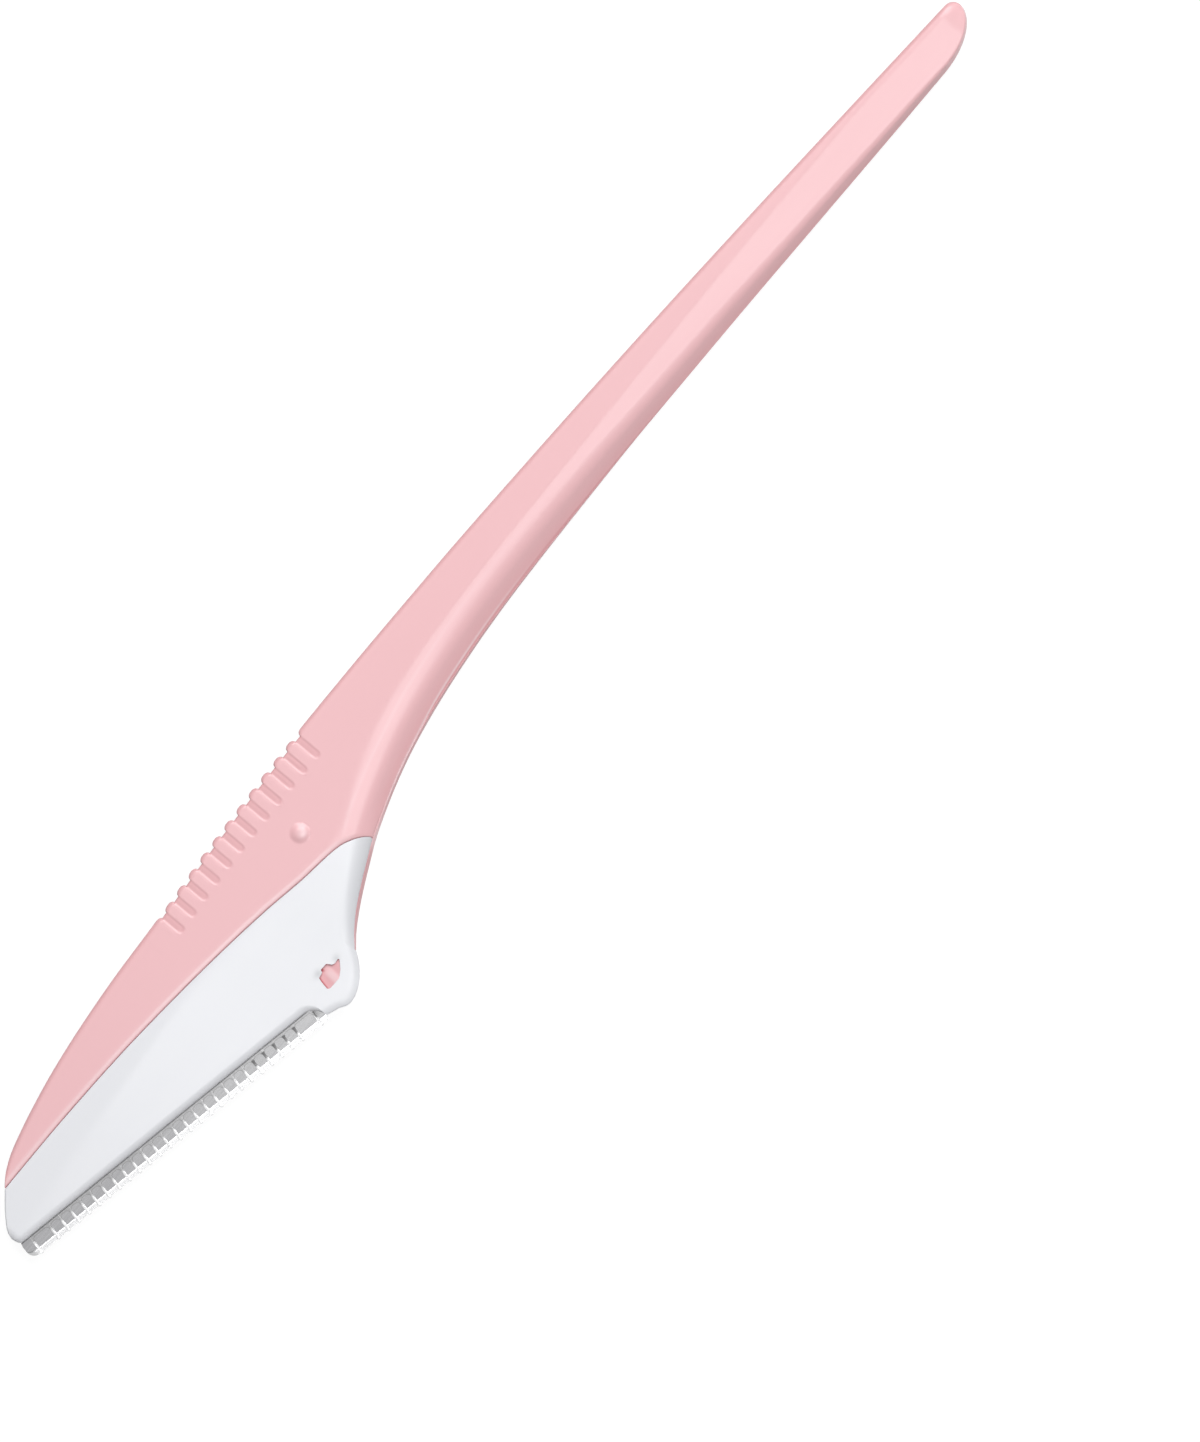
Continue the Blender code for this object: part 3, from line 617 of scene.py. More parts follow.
@dataclass
class Handle:
    """Coloured moulding: head back, ribbed grip, faceted grip bar, tongue, flange and catches."""

    plan: RazorPlan
    # Places of the sections.
    start: float = 3.46
    nose_run: float = 1.0
    nose_crowding: float = 1.6
    nose_stations: int = 9
    head_run: Run = (4.9, 32.4, 38)
    hook_run: Run = (50.8, 53.4, 22)
    neck_run: Run = (55.7, 66.0, 22)
    bar_start: float = 66.8
    bar_stations: int = 60
    tail_stations: int = 30
    station_gap: float = 0.0075
    ledge: float = 0.01
    # Tongue inside the head, and the flange that it turns into.
    sliver: float = 0.004
    tongue_half: float = 0.6
    tongue_skin: float = 0.03
    tongue_start: float = 4.6
    web_height: float = 3.33
    leg: Points = ((37.51, -13.59), (38.01, -14.09), (39.86, -14.09), (41.54, -13.26), (42.79, -13.1))
    tip_round: float = 0.14
    tip_edge: float = 0.04
    tip_limit: float = 0.9
    chamfer_share: float = 0.68
    flange_blend: float = 0.5
    # Rows round a section.
    round_rows: int = 8
    wall_rows: int = 4
    near_band: float = 2.8
    near_limit: float = 0.35
    near_rows: int = 24
    middle_rows: int = 14
    grip_band: float = 3.5
    grip_limit: float = 0.5
    grip_rows: int = 36
    # Seam beside the holder, with its bead.
    seam_gap: float = 0.015
    seam_end: float = 52.2
    seam_fade: Pair = (51.2, 52.3)
    seam_bead: float = 0.55
    seam_slope: float = 0.09
    seam_power: float = 1.3
    seam_round: float = 0.16
    # Grip grooves, round rib tips between them, and the brow beside each groove.
    grooves: int = 12
    groove_last: float = 54.74
    groove_pitch: float = 1.936
    groove_half: float = 0.39
    groove_depth: float = 0.45
    groove_floor: float = 0.05
    groove_reach: Pair = (3.12, 2.75)
    groove_wall: Pair = (0.24, 0.5)
    groove_corner: float = 0.25
    groove_stations: tuple[float, ...] = (
        0.0, 0.16, 0.27, 0.32, 0.36, 0.4, 0.44, 0.49, 0.56, 0.64, 0.72, 0.8)
    shallow_grooves: int = 2
    shallow_depth: float = 0.32
    floor_margin: float = 0.015
    rib_round: float = 0.57
    rib_overlap: float = 0.02
    rib_fill: float = 0.86
    brow_reach: float = 0.36
    brow_fall: float = 0.02
    # Pip on the front face.
    pip_at: Pair = (47.93, -1.74)
    pip_radius: float = 1.08
    pip_height: float = 0.24
    pip_crown: float = 1.6
    pip_root: float = 0.05
    pip_centre: float = 0.03
    pip_lean: Pair = (-0.05, 0.05)
    pip_rows: int = 12
    pip_sides: int = 56
    # Painted highlight on the pip, faded out towards its rim.
    pip_fade: Pair = (0.55, 0.95)
    pip_glints: Spots = ((48.2, -1.98, 0.55, 0.45, 0.55),)
    # Shares of shade, and how far they reach.
    groove_share: float = 0.17
    groove_end_share: float = 0.08
    flange_share: float = 0.36
    side_share: float = 0.16
    side_start: float = 0.5
    back_share: float = 0.28
    back_reach: float = 0.42
    tip_share: float = 0.45
    tip_reach: float = 0.24
    grip_start: Pair = (32.5, 33.0)
    grip_end: Pair = (55.0, 55.5)
    seam_share: float = 0.45
    seam_reach: float = 0.13
    seam_shade_end: float = 50.8
    # Shares of light, and how far they reach.
    bead_share: float = 0.42
    bead_above: float = 0.32
    bead_width: float = 0.2
    bead_end: float = 49.0
    streak: Line = Line((
        (50.2, -5.15), (55.0, -3.1), (60.0, -1.8), (66.0, -0.55), (76.0, 0.5), (90.0, 0.95)))
    streak_reach: float = 0.2
    streak_share: float = 0.22
    streak_start: Pair = (50.0, 51.5)
    streak_end: Pair = (60.0, 92.0)
    hem: Line = Line(((53.0, 0.24), (62.0, 0.3), (67.0, 0.47), (84.0, 0.45)))
    hem_width: float = 0.1
    hem_end: Pair = (84.0, 112.0)
    glint_share: float = 1.0
    glint_start: Pair = (53.0, 56.0)
    glint_end: Pair = (72.0, 84.0)
    gleam_share: float = 0.45
    gleam_start: Pair = (43.5, 45.0)
    gleam_edge: float = 0.06

    def stations(self) -> Array:
        """Place the sections, close at the ends, at each groove and at the hook.

        Returns:
            Places along the razor, in rising order.
        """
        plan, leg = self.plan, self.leg
        nose = spread(self.start, self.start + self.nose_run, self.nose_stations, self.nose_crowding)
        steps = np.array((
            self.tongue_start - self.ledge, self.tongue_start, leg[0][0] - self.ledge, leg[0][0],
            leg[1][0], plan.lobe_end, plan.lobe_end + self.ledge, leg[-1][0]))
        beside = np.array(self.groove_stations)
        beside = np.concatenate((-beside[:0:-1], beside))
        middles = self.groove_last - self.groove_pitch * np.arange(self.grooves)
        grip = (middles[:, None] + beside).ravel()
        bar = np.linspace(self.bar_start, plan.length - plan.tail_sweep, self.bar_stations)
        tail = plan.length - plan.tail_sweep * (1.0 - np.sin(turned(self.tail_stations)))
        runs = (np.linspace(*run) for run in (self.head_run, self.hook_run, self.neck_run))
        return in_order((nose, steps, grip, *runs, bar, tail), self.station_gap)

    def groove_offsets(self, x: Array, y: Array) -> tuple[Array, Array, Array]:
        """Return the place of each point beside its nearest groove's middle line.

        A groove's middle line starts at its round inner end and runs out past the back edge.

        Args:
            x: Places along the razor.
            y: Places across it.

        Returns:
            Distance towards the tail, distance past the inner end, and the groove's number.
        """
        index = np.clip(np.round((self.groove_last - x) / self.groove_pitch), 0, self.grooves - 1)
        middle = self.groove_last - index * self.groove_pitch
        tail_reach, toe_reach = self.groove_reach
        reach = tail_reach + (toe_reach - tail_reach) * index / (self.grooves - 1)
        inner = self.plan.back_edge(middle) - reach + self.groove_half
        return x - middle, y - inner, index

    def in_groove(self, x: Array, y: Array) -> Array:
        """Return 1 on a groove's floor, falling along an S up its walls and round its inner end."""
        aside, beyond, _ = self.groove_offsets(x, y)
        return 1.0 - ease(ramp(np.hypot(aside, np.minimum(beyond, 0.0)), *self.groove_wall))

    def groove_fall(self, x: Array, y: Array) -> Array:
        """Return how far the grooves lower the face.

        The rib on the toe's side of a groove has a soft brow besides. It falls off with the square
        of the way from the wall, and fades out at the groove's inner end.

        Args:
            x: Places along the razor.
            y: Places across it.

        Returns:
            Depths below the plain face.
        """
        aside, beyond, _ = self.groove_offsets(x, y)
        start, end = self.groove_wall
        away = np.hypot(aside, np.minimum(beyond, 0.0))
        brow = 1.0 - ramp(away, end, end + self.brow_reach)
        brow = brow ** 2 * ramp(-aside, 0.0, start) * ramp(beyond, 0.0, self.brow_reach)
        return self.groove_floor * self.in_groove(x, y) + self.brow_fall * brow

    def outline_dip(self, x: Array) -> Array:
        """Return how far the back outline lies below its envelope, between round rib tips.

        Args:
            x: Places along the razor.

        Returns:
            Depths: even over a groove's floor, and along a quarter ellipse round a rib's tip.
        """
        aside, _, index = self.groove_offsets(x, self.plan.back_edge(x))
        away = np.abs(aside)
        shallow = ramp(index, self.grooves - 1 - self.shallow_grooves, self.grooves - 1)
        depth = self.groove_depth + (self.shallow_depth - self.groove_depth) * shallow
        tip = 1.0 - ramp(away, self.groove_half - self.rib_overlap, self.groove_half + self.rib_round)
        on_floor = away < self.groove_half - self.floor_margin
        return depth * np.where(on_floor, 1.0, self.rib_fill * quarter(tip))

    def tip_line(self, x: Array) -> Array:
        """Return the lower end of the tongue, or of the flange, which lies outside the holder.

        Args:
            x: Places along the razor.

        Returns:
            Places across it.
        """
        under = self.foot_line(x) - self.sliver
        leg = np.interp(x, *np.array(self.leg).T)
        spare = self.ledge / 2.0
        inner = np.where(x < self.tongue_start - spare, under, self.plan.lip(x) + self.web_height)
        inner = np.where(x > self.leg[0][0] - spare, leg, inner)
        return np.where(x >= self.leg[-1][0], np.minimum(self.plan.spine_edge(x), under), inner)

    def foot_line(self, x: Array) -> Array:
        """Return where the outer form starts: at the seam on the head, then at the flange.

        Args:
            x: Places along the razor.

        Returns:
            Places across it.
        """
        seam = self.plan.seam.at(x) + self.seam_gap
        form = np.where(x > self.plan.lobe_end, self.plan.lower_edge(x), FAR_BELOW)
        return np.where(x > self.seam_end, form, np.maximum(seam, form))

    def tongue_columns(self, x: Array, foot: Array, half: Array) -> tuple[Columns, Columns]:
        """Return the part of a section below the foot: the tongue's tip, then its flat side.

        The tip is a quarter circle on the tongue. Where it turns into the flange, it grows to the
        flange's width and almost to its depth, and is cut to a chamfer.

        Args:
            x: Places of the stations along the razor.
            foot: Where the outer form starts.
            half: Half the tongue's thickness.

        Returns:
            Places y and z of the tip's rows, and of the side's rows.
        """
        tip = self.tip_line(x)
        shown = ramp(x, self.leg[-1][0] - self.flange_blend, self.leg[-1][0])
        flange = self.plan.flange_width(x) + self.sliver
        wide = self.tip_round + (flange - self.tip_round) * shown
        wide = np.minimum(wide, self.tip_limit * (foot - tip))
        drop = self.tip_round + (half - self.tip_edge - self.tip_round) * shown
        turn = turned(self.round_rows)
        inward = 1.0 - np.cos(turn)
        round_fall = 1.0 - np.sin(turn)
        chamfer_fall = 1.0 - ramp(inward, 0.0, self.chamfer_share)
        tip_z = half - drop * (round_fall + (chamfer_fall - round_fall) * shown)
        share = np.linspace(0.0, 1.0, self.round_rows)[1:]
        return (tip + wide * inward, tip_z), (tip + wide + (foot - tip - wide) * share, half)

    def face_rows(self, foot: Array, shoulder: Array, width: Array) -> Array:
        """Return the rows of the face: close beside the foot and again over the grip.

        Args:
            foot: Where the outer form starts.
            shoulder: Where the rounding of the back starts.
            width: Width of the face with that rounding.

        Returns:
            Places across the razor, one row for each station.
        """
        first = foot + np.minimum(self.near_band, self.near_limit * width)
        last = np.maximum(shoulder - np.minimum(self.grip_band, self.grip_limit * width), first)
        near = spread(foot, first, self.near_rows, CROWDING)
        middle = spread(first, last, self.middle_rows)[:, 1:-1]
        outer = spread(last, shoulder, self.grip_rows)
        return np.concatenate((near, middle, outer), axis=1)

    def face_height(self, x: Array, y: Array, foot: Array) -> Array:
        """Return the face's height, with its bead along the seam and its grooves pressed in.

        Args:
            x: Places along the razor.
            y: Places across it.
            foot: Where the outer form starts.

        Returns:
            Heights above the mid-plane.
        """
        fade = 1.0 - ramp(x, *self.seam_fade)
        bead = ramp(y - foot, self.seam_bead, 0.0) ** self.seam_power
        edge = quarter(ramp(y - foot, self.seam_round, 0.0))
        lowered = fade * (self.seam_slope * bead + self.seam_round * edge)
        return self.plan.face(x, y, 0.0) - lowered - self.groove_fall(x, y)

    def half_rings(self, x: Array) -> Array:
        """Return the front half of each section, from the tongue's tip over the face to the back.

        Args:
            x: Places of the stations along the razor.

        Returns:
            Array of stations, points and the two axes y and z.
        """
        plan = self.plan
        x = x[:, None]
        foot, dip = self.foot_line(x), self.outline_dip(x)
        half = np.minimum(self.tongue_half, plan.face(x, foot, 0.0) - self.tongue_skin)
        edge = plan.back_edge(x) - dip
        width = edge - foot
        corner = plan.back_round - (plan.back_round - self.groove_corner) * dip / self.groove_depth
        corner = np.minimum(corner, plan.back_limit * width)
        shoulder = edge - corner
        face_y = self.face_rows(foot, shoulder, width)
        face_z = self.face_height(x, face_y, foot)
        wall_z = spread(half, face_z[:, :1], self.wall_rows)[:, 1:-1]
        turn = turned(self.round_rows)[1:]
        back_y = shoulder + corner * np.sin(turn)
        back_z = face_z[:, -1:] - corner * (1.0 - np.cos(turn))
        return joined_columns(
            *self.tongue_columns(x, foot, half), (foot, wall_z), (face_y, face_z), (back_y, back_z))

    def pip(self) -> Surface:
        """Make the small soft bump on the front face, which leans a little to the toe and back.

        Its height falls from the top to the rim along an S that is steepest near the rim, and a
        ring moves aside with the square of the share of the rim's radius that it has lost.

        Returns:
            The closed bump, with its root inside the moulding.
        """
        share = np.concatenate(([1.0], np.linspace(1.0, self.pip_centre, self.pip_rows)))[:, None]
        around = np.linspace(0.0, 2.0 * math.pi, self.pip_sides, endpoint=False)
        fall = ease(share ** self.pip_crown)
        height = self.plan.thickness / 2.0 + self.pip_height * (1.0 - fall) - self.sliver
        height[0] -= self.pip_root
        lean = (1.0 - share) ** 2
        rings = np.stack((
            self.pip_at[0] + self.pip_lean[0] * lean + self.pip_radius * share * np.cos(around),
            self.pip_at[1] + self.pip_lean[1] * lean + self.pip_radius * share * np.sin(around),
            height * np.ones_like(around)), axis=-1)
        return Surface.lofted(rings)

    def painted_highlight(self, x: Array, y: Array) -> Array:
        """Return the painted highlights along the creases, the seam's bead and the flange.

        Args:
            x: Places along the razor.
            y: Places across it.

        Returns:
            Shares, each the strongest of a streak on the bar's crease, a glint in the hollow
            between the bar and its flange, a gleam on the flange and a light on the bead.
        """
        above_hem = y - self.plan.spine_edge(x) - self.hem.at(x)
        above_bead = y - self.foot_line(x) - self.bead_above
        on_crease = between(x, self.streak_start, self.streak_end)
        in_hollow = between(x, self.glint_start, self.glint_end)
        on_flange = ramp(self.plan.lower_edge(x) - y, 0.0, self.gleam_edge)
        on_head = 1.0 - ramp(x, self.bead_end, self.plan.neck)
        return np.max((
            self.streak_share * on_crease * bell(y - self.streak.at(x), self.streak_reach),
            self.glint_share * in_hollow * bell(above_hem, self.hem_width),
            self.gleam_share * between(x, self.gleam_start, self.glint_start) * on_flange,
            self.bead_share * on_head * bell(above_bead, self.bead_width)), axis=0)

    def painted_shade(self, x: Array, y: Array) -> Array:
        """Return the painted shade in the grooves, at the seam and edges, and low on the bar's side.

        Args:
            x: Places along the razor.
            y: Places across it.

        Returns:
            Shares, each the strongest of these.
        """
        plan = self.plan
        low, back = plan.lower_edge(x), plan.back_edge(x) - self.outline_dip(x)
        side = plan.side_width(x, plan.back_edge(x) - low)
        away = np.clip((low + side - y) / side, 0.0, 1.0)
        inside = -self.groove_offsets(x, y)[1]
        hem = plan.spine_edge(x) + self.hem.at(x) * (1.0 - ramp(x, *self.hem_end))
        on_bar = ramp(x, plan.facet_start, plan.facet_end)
        on_grip = between(x, self.grip_start, self.grip_end)
        past_neck = ramp(x, plan.neck, plan.facet_end)
        on_head = 1.0 - ramp(x, self.seam_shade_end, plan.neck)
        deepening = self.groove_share + self.groove_end_share * ramp(inside, 0.0, self.groove_half)
        return np.max((
            self.in_groove(x, y) * deepening,
            self.flange_share * ramp(hem - y, 0.0, self.hem_width) * past_neck,
            self.side_share * ease(ramp(away, self.side_start, 1.0)) * on_bar,
            self.back_share * ramp(back - y, self.back_reach, 0.0),
            self.tip_share * ramp(back - y, self.tip_reach, 0.0) * on_grip,
            self.seam_share * ramp(y - self.foot_line(x), self.seam_reach, 0.0) * on_head), axis=0)

    def build(self, window: "CatchWindow") -> bpy.types.Object:
        """Make the piece from the lofted moulding, its pip and its catches.

        Args:
            window: The windows that the catches show in.

        Returns:
            The piece, marked with its painted shade and painted highlights.
        """
        x = self.stations()
        body = Surface.lofted(both_faces(x, self.half_rings(x)))
        pip, catch = self.pip(), window.catch()
        whole = Surface.joined([body, pip, catch, catch.mirrored()])
        piece = self.plan.piece("handle_moulding", whole, Slot.HANDLE, "handle")
        on_body, on_pip, on_catch = (part.points[:, :2].T for part in (body, pip, catch))
        # Painted highlights on the pip, faded out towards its rim.
        out = np.hypot(*(on_pip.T - self.pip_at).T) / self.pip_radius
        glints = (1.0 - ramp(out, *self.pip_fade)) * spotted(*on_pip, self.pip_glints)
        # Painted shade and painted highlight on the catches.
        shaded, bright = window.painted_shade(*on_catch), window.painted_highlight(*on_catch)
        plain = np.zeros(len(pip.points))
        marked(piece, Mark.PAINTED_SHADE, np.concatenate((self.painted_shade(*on_body), plain, shaded, shaded)))
        marked(piece, Mark.PAINTED_HIGHLIGHT, np.concatenate((self.painted_highlight(*on_body), glints, bright, bright)))
        return piece


@dataclass
class CatchWindow:
    """Opening in each cheek, and the catch of the tongue that shows in it."""

    # Opening in the cheek.
    outline: Points = (
        (38.12, -13.4), (38.32, -13.58), (39.65, -13.62), (40.35, -13.18), (41.07, -12.47),
        (40.98, -12.31), (40.5, -12.39), (40.18, -12.25), (40.05, -11.98), (39.9, -11.76),
        (39.1, -11.74), (39.02, -12.03), (38.4, -12.12), (38.24, -12.7))
    sides: int = 200
    passes: int = 3
    # Catch, and the ridge on it.
    gap: float = 0.006
    rim_height: float = 0.88
    rise: Pair = (0.05, -0.08)
    edge_round: float = 0.03
    edge_power: int = 4
    rim_turn: float = 0.15
    middle_turn: float = 0.02
    rows: int = 18
    base: float = 0.5
    ridge_at: Pair = (39.46, -12.6)
    ridge_lean: float = -0.08
    ridge_height: float = 0.03
    ridge_reach: float = 0.42
    ridge_power: int = 4
    # Painted highlight on the ridge, fading out above the ridge's middle.
    ridge_share: float = 0.42
    ridge_light: float = 0.6
    # Shares of shade beside the ridge and under the opening's edges.
    plateau_share: float = 0.2
    shade_start: float = 0.02
    left: Line = Line(((-13.6, 38.08), (-12.12, 38.4)))
    left_share: float = 1.0
    left_reach: float = 0.24
    top: Line = Line((
        (38.3, -12.14), (39.0, -12.04), (39.1, -11.74), (39.9, -11.76), (40.3, -12.3), (41.1, -12.35)))
    top_share: float = 0.5
    top_reach: float = 0.16
    notch: Pair = (39.18, -11.9)
    notch_reach: float = 0.2

    def rounded_outline(self, shrink: float) -> Array:
        """Return the opening's outline, rounded and drawn in by a distance.

        The corners are cut off by averaging each point of a fine outline with its neighbours.

        Args:
            shrink: The distance.

        Returns:
            Points in plan, in order round the opening.
        """
        points = np.array(self.outline + self.outline[:1])
        run = np.concatenate(([0.0], np.cumsum(np.hypot(*np.diff(points, axis=0).T))))
        even = np.linspace(0.0, run[-1], self.sides, endpoint=False)
        fine = np.stack([np.interp(even, run, axis) for axis in points.T], axis=1)
        for _ in range(self.passes):
            fine = (np.roll(fine, 1, axis=0) + 2.0 * fine + np.roll(fine, -1, axis=0)) / 4.0
        along = np.roll(fine, -1, axis=0) - np.roll(fine, 1, axis=0)
        along /= np.linalg.norm(along, axis=1, keepdims=True)
        inward = np.stack((-along[:, 1], along[:, 0]), axis=1)
        return fine + shrink * inward

    def ridge(self, x: Array, y: Array) -> Array:
        """Return 1 on the catch's lengthwise ridge, falling to 0 on both sides of it."""
        beside = x - self.ridge_at[0] + self.ridge_lean * (y - self.ridge_at[1])
        return np.exp(-(beside / self.ridge_reach) ** self.ridge_power)

    def painted_shade(self, x: Array, y: Array) -> Array:
        """Return how shaded the catch is: beside its ridge, and under the window's upper left.

        Args:
            x: Places along the razor.
            y: Places across it.

        Returns:
            Shares, each the strongest of these.
        """
        return np.max((
            self.plateau_share * (1.0 - self.ridge(x, y)),
            bell(np.hypot(x - self.notch[0], y - self.notch[1]), self.notch_reach),
            self.left_share * ramp(x - self.left.at(y), self.left_reach, self.shade_start),
            self.top_share * ramp(self.top.at(x) - y, self.top_reach, self.shade_start)), axis=0)

    def painted_highlight(self, x: Array, y: Array) -> Array:
        """Return the painted highlight on the catch's ridge."""
        return self.ridge_share * self.ridge(x, y) * ramp(self.ridge_at[1] - y, -self.ridge_light, 0.0)

    def catch(self) -> Surface:
        """Make the catch: its outline drawn together over a top with a soft lengthwise ridge.

        The top is a slanted plane that carries the ridge. It turns down at its rim along a steep
        curve, to a wall that stands on the tongue.

        Returns:
            The closed catch of the front face.
        """
        rim = self.rounded_outline(self.gap)
        middle = rim.mean(axis=0)
        turn = np.linspace(self.rim_turn, math.pi / 2.0 - self.middle_turn, self.rows)
        share = np.concatenate((np.ones(2), np.cos(turn)))
        plan = middle + (rim - middle) * share[:, None, None]
        along, across = (plan - self.ridge_at).transpose(2, 0, 1)
        top = self.rim_height + self.rise[0] * along + self.rise[1] * across
        top += self.ridge_height * self.ridge(plan[..., 0], plan[..., 1])
        height = top - self.edge_round * quarter(share ** self.edge_power)[:, None]
        height[0] = self.base
        return Surface.lofted(np.concatenate((plan, height[..., None]), axis=-1))

    def cutter(self, reach: float) -> Surface:
        """Make the prism that opens both cheeks.

        Args:
            reach: How far it reaches from the mid-plane, which is past both faces.

        Returns:
            The closed prism.
        """
        rim = self.rounded_outline(0.0)
        rings = np.stack([np.column_stack((rim, np.full(len(rim), z))) for z in (-reach, reach)])
        return Surface.lofted(rings)


@dataclass
class BladeHolder:
    """White moulding: two cheeks joined by a web between the slit and the pocket."""

    plan: RazorPlan
    # Places of the sections.
    nose_run: float = 4.0
    nose_stations: int = 30
    lip_run: Run = (4.9, 34.6, 50)
    arch_stations: int = 18
    lobe_run: Run = (36.15, 37.4, 12)
    leg_stations: tuple[float, ...] = (37.45, 37.46, 37.96)
    heel_lobe_start: float = 38.2
    heel_lobe_stations: int = 34
    heel_run: Run = (43.0, 50.6, 30)
    tip_stations: int = 14
    station_gap: float = 0.004
    ledge: float = 0.01
    # Slit for the blade, pocket for the tongue, and edges of the cheek.
    lowered: float = 0.13
    skin: float = 0.006
    slit_half: float = 0.305
    slit_height: float = 2.82
    slit_limit: float = 0.45
    slit_toe: Points = ((0.1, -7.03), (0.88, -6.28), (1.755, -4.05))
    wall_limit: float = 0.75
    wall_rows: int = 6
    pocket_start: float = 4.55
    pocket_end: float = 42.75
    pocket_half: float = 0.65
    pocket_gap: float = 0.05
    pocket_wall: float = 0.02
    lip_edge: float = 0.03
    lip_chamfer: float = 0.09
    lip_fade: float = 0.8
    chamfer_limit: float = 0.3
    side_limit: float = 0.5
    seam_round: float = 0.08
    nose_edge: float = 0.22
    nose_blend: Pair = (3.2, 3.6)
    edge_limit: float = 0.3
    face_rows: int = 72
    side_rows: int = 26
    # Shares of shade, and how far they reach.
    heel_share: float = 0.62
    heel_reach: float = 2.3
    heel_start: Pair = (40.5, 44.0)
    # Painted shade spots on the cheek above the window.
    painted_shade_spots: Spots = ((38.65, -11.8, 0.48, 0.38, 1.0), (40.95, -12.15, 0.38, 0.3, 0.9))

    def stations(self) -> Array:
        """Place the sections, close at the nose, the arch, the lobe and the tip.

        Returns:
            Places along the razor, in rising order.
        """
        plan = self.plan
        nose = spread(plan.nose_start, plan.nose_start + self.nose_run, self.nose_stations, CROWDING)
        arch = plan.slit_end - plan.arch_run * (1.0 - np.sin(turned(self.arch_stations)))
        heel_lobe = np.linspace(self.heel_lobe_start, plan.lobe_end, self.heel_lobe_stations)
        tip = self.heel_run[1] + (plan.neck - self.heel_run[1]) * np.sin(turned(self.tip_stations))
        steps = np.array((
            self.pocket_start - self.ledge, self.pocket_start, *self.leg_stations,
            self.pocket_end - self.ledge, self.pocket_end))
        runs = (np.linspace(*run) for run in (self.lip_run, self.lobe_run, self.heel_run))
        return in_order((nose, *runs, arch, heel_lobe, tip, steps), self.station_gap)

    def hidden_lines(self, x: Array, tongue: Array, low: Array, high: Array) -> tuple[Array, Array]:
        """Return the bottom of the slit for the blade and that of the pocket for the tongue.

        Args:
            x: Places of the stations along the razor.
            tongue: Lower end of the handle's tongue at those places.
            low: Lower edge of the cheek.
            high: Its upper edge.

        Returns:
            Places across the razor, at which the slit and the pocket end.
        """
        toe_x, toe_y = np.array(self.slit_toe).T
        slit = np.where(x < toe_x[-1], np.interp(x, toe_x, toe_y), self.plan.lip(x) + self.slit_height)
        slit = np.where(x > self.plan.slit_end, low + self.skin, slit)
        slit = np.clip(slit, low + self.skin, low + self.slit_limit * (high - low))
        pocket = np.where(x < self.pocket_start, high - self.skin, tongue - self.pocket_gap)
        pocket = np.where(x > self.pocket_end - self.ledge / 2.0, low + 2.0 * self.skin, pocket)
        return slit, np.clip(pocket, slit + self.skin, high - self.skin)

    def half_rings(self, x: Array, tongue: Array) -> Array:
        """Return the front half of each section, from the slit round the cheek to the pocket.

        Args:
            x: Places of the stations along the razor.
            tongue: Lower end of the handle's tongue at those places.

        Returns:
            Array of stations, points and the two axes y and z.
        """
        plan = self.plan
        x = x[:, None]
        low = plan.lower_edge(x)
        high = np.minimum(plan.seam.at(x), plan.back_edge(x))
        width = high - low
        slit, pocket = self.hidden_lines(x, tongue[:, None], low, high)
        on_nose = 1.0 - ramp(x, *self.nose_blend)
        edge_round = self.seam_round + (self.nose_edge - self.seam_round) * on_nose
        edge_round = np.minimum(edge_round, self.edge_limit * width)
        shoulder = high - edge_round
        side = low + np.minimum(plan.side_width(x, width), self.side_limit * (shoulder - low))
        on_lip = between(
            x, (plan.nose_start, plan.nose_start + plan.nose_corner),
            (plan.slit_end, plan.slit_end + self.lip_fade))
        lip = low + np.minimum(self.lip_chamfer * on_lip, self.chamfer_limit * (side - low))
        near = spread(lip, side, self.side_rows, CROWDING)
        far = spread(side, shoulder, self.face_rows)[:, 1:]
        face_y = np.concatenate((near, far), axis=1)
        face_z = plan.face(x, face_y, self.lowered)
        half = np.minimum(self.slit_half, self.wall_limit * face_z[:, :1])
        turn = turned(self.wall_rows)[1:]
        edge_z = face_z[:, -1:] - edge_round * (1.0 - np.cos(turn))
        pocket_z = np.minimum(self.pocket_half, edge_z[:, -1:] - self.pocket_wall)
        return joined_columns(
            (spread(slit, low, self.wall_rows), half), (low, half + self.lip_edge), (face_y, face_z),
            (shoulder + edge_round * np.sin(turn), edge_z),
            (spread(high, pocket, self.wall_rows), pocket_z))

    def painted_shade(self, x: Array, y: Array) -> Array:
        """Return how shaded the heel is beside the spine, and the cheek above its window.

        Args:
            x: Places along the razor.
            y: Places across it.

        Returns:
            Shares, each the stronger of the two.
        """
        away = ramp(y - self.plan.lower_edge(x), 0.0, self.heel_reach)
        heel = self.heel_share * (1.0 - ease(away)) * ramp(x, *self.heel_start)
        return np.maximum(heel, spotted(x, y, self.painted_shade_spots))

    def build(self, handle: Handle, window: CatchWindow) -> bpy.types.Object:
        """Make the piece and open its windows, so that the catches show in them.

        Args:
            handle: The handle, whose tongue the pocket fits.
            window: The windows.

        Returns:
            The piece, marked with its painted shade.
        """
        x = self.stations()
        surface = Surface.lofted(both_faces(x, self.half_rings(x, handle.tip_line(x))))
        piece = self.plan.piece("blade_holder_moulding", surface, Slot.HOLDER, "blade_holder")
        cutter = window.cutter(self.plan.thickness)
        tool = added("window_tool", cutter.mesh("window_tool", self.plan.origin))
        step = piece.modifiers.new("windows", "BOOLEAN")
        step.operation = "DIFFERENCE"
        step.solver = "MANIFOLD"
        step.object = tool
        ready = piece.evaluated_get(bpy.context.evaluated_depsgraph_get())
        mesh = bpy.data.meshes.new_from_object(ready)
        piece.modifiers.clear()
        mesh.materials.clear()
        piece.data = mesh
        smoothed(mesh)
        bpy.data.objects.remove(tool)
        marked(piece, Mark.PAINTED_SHADE, self.painted_shade(*self.plan.seen_at(mesh)))
        return piece


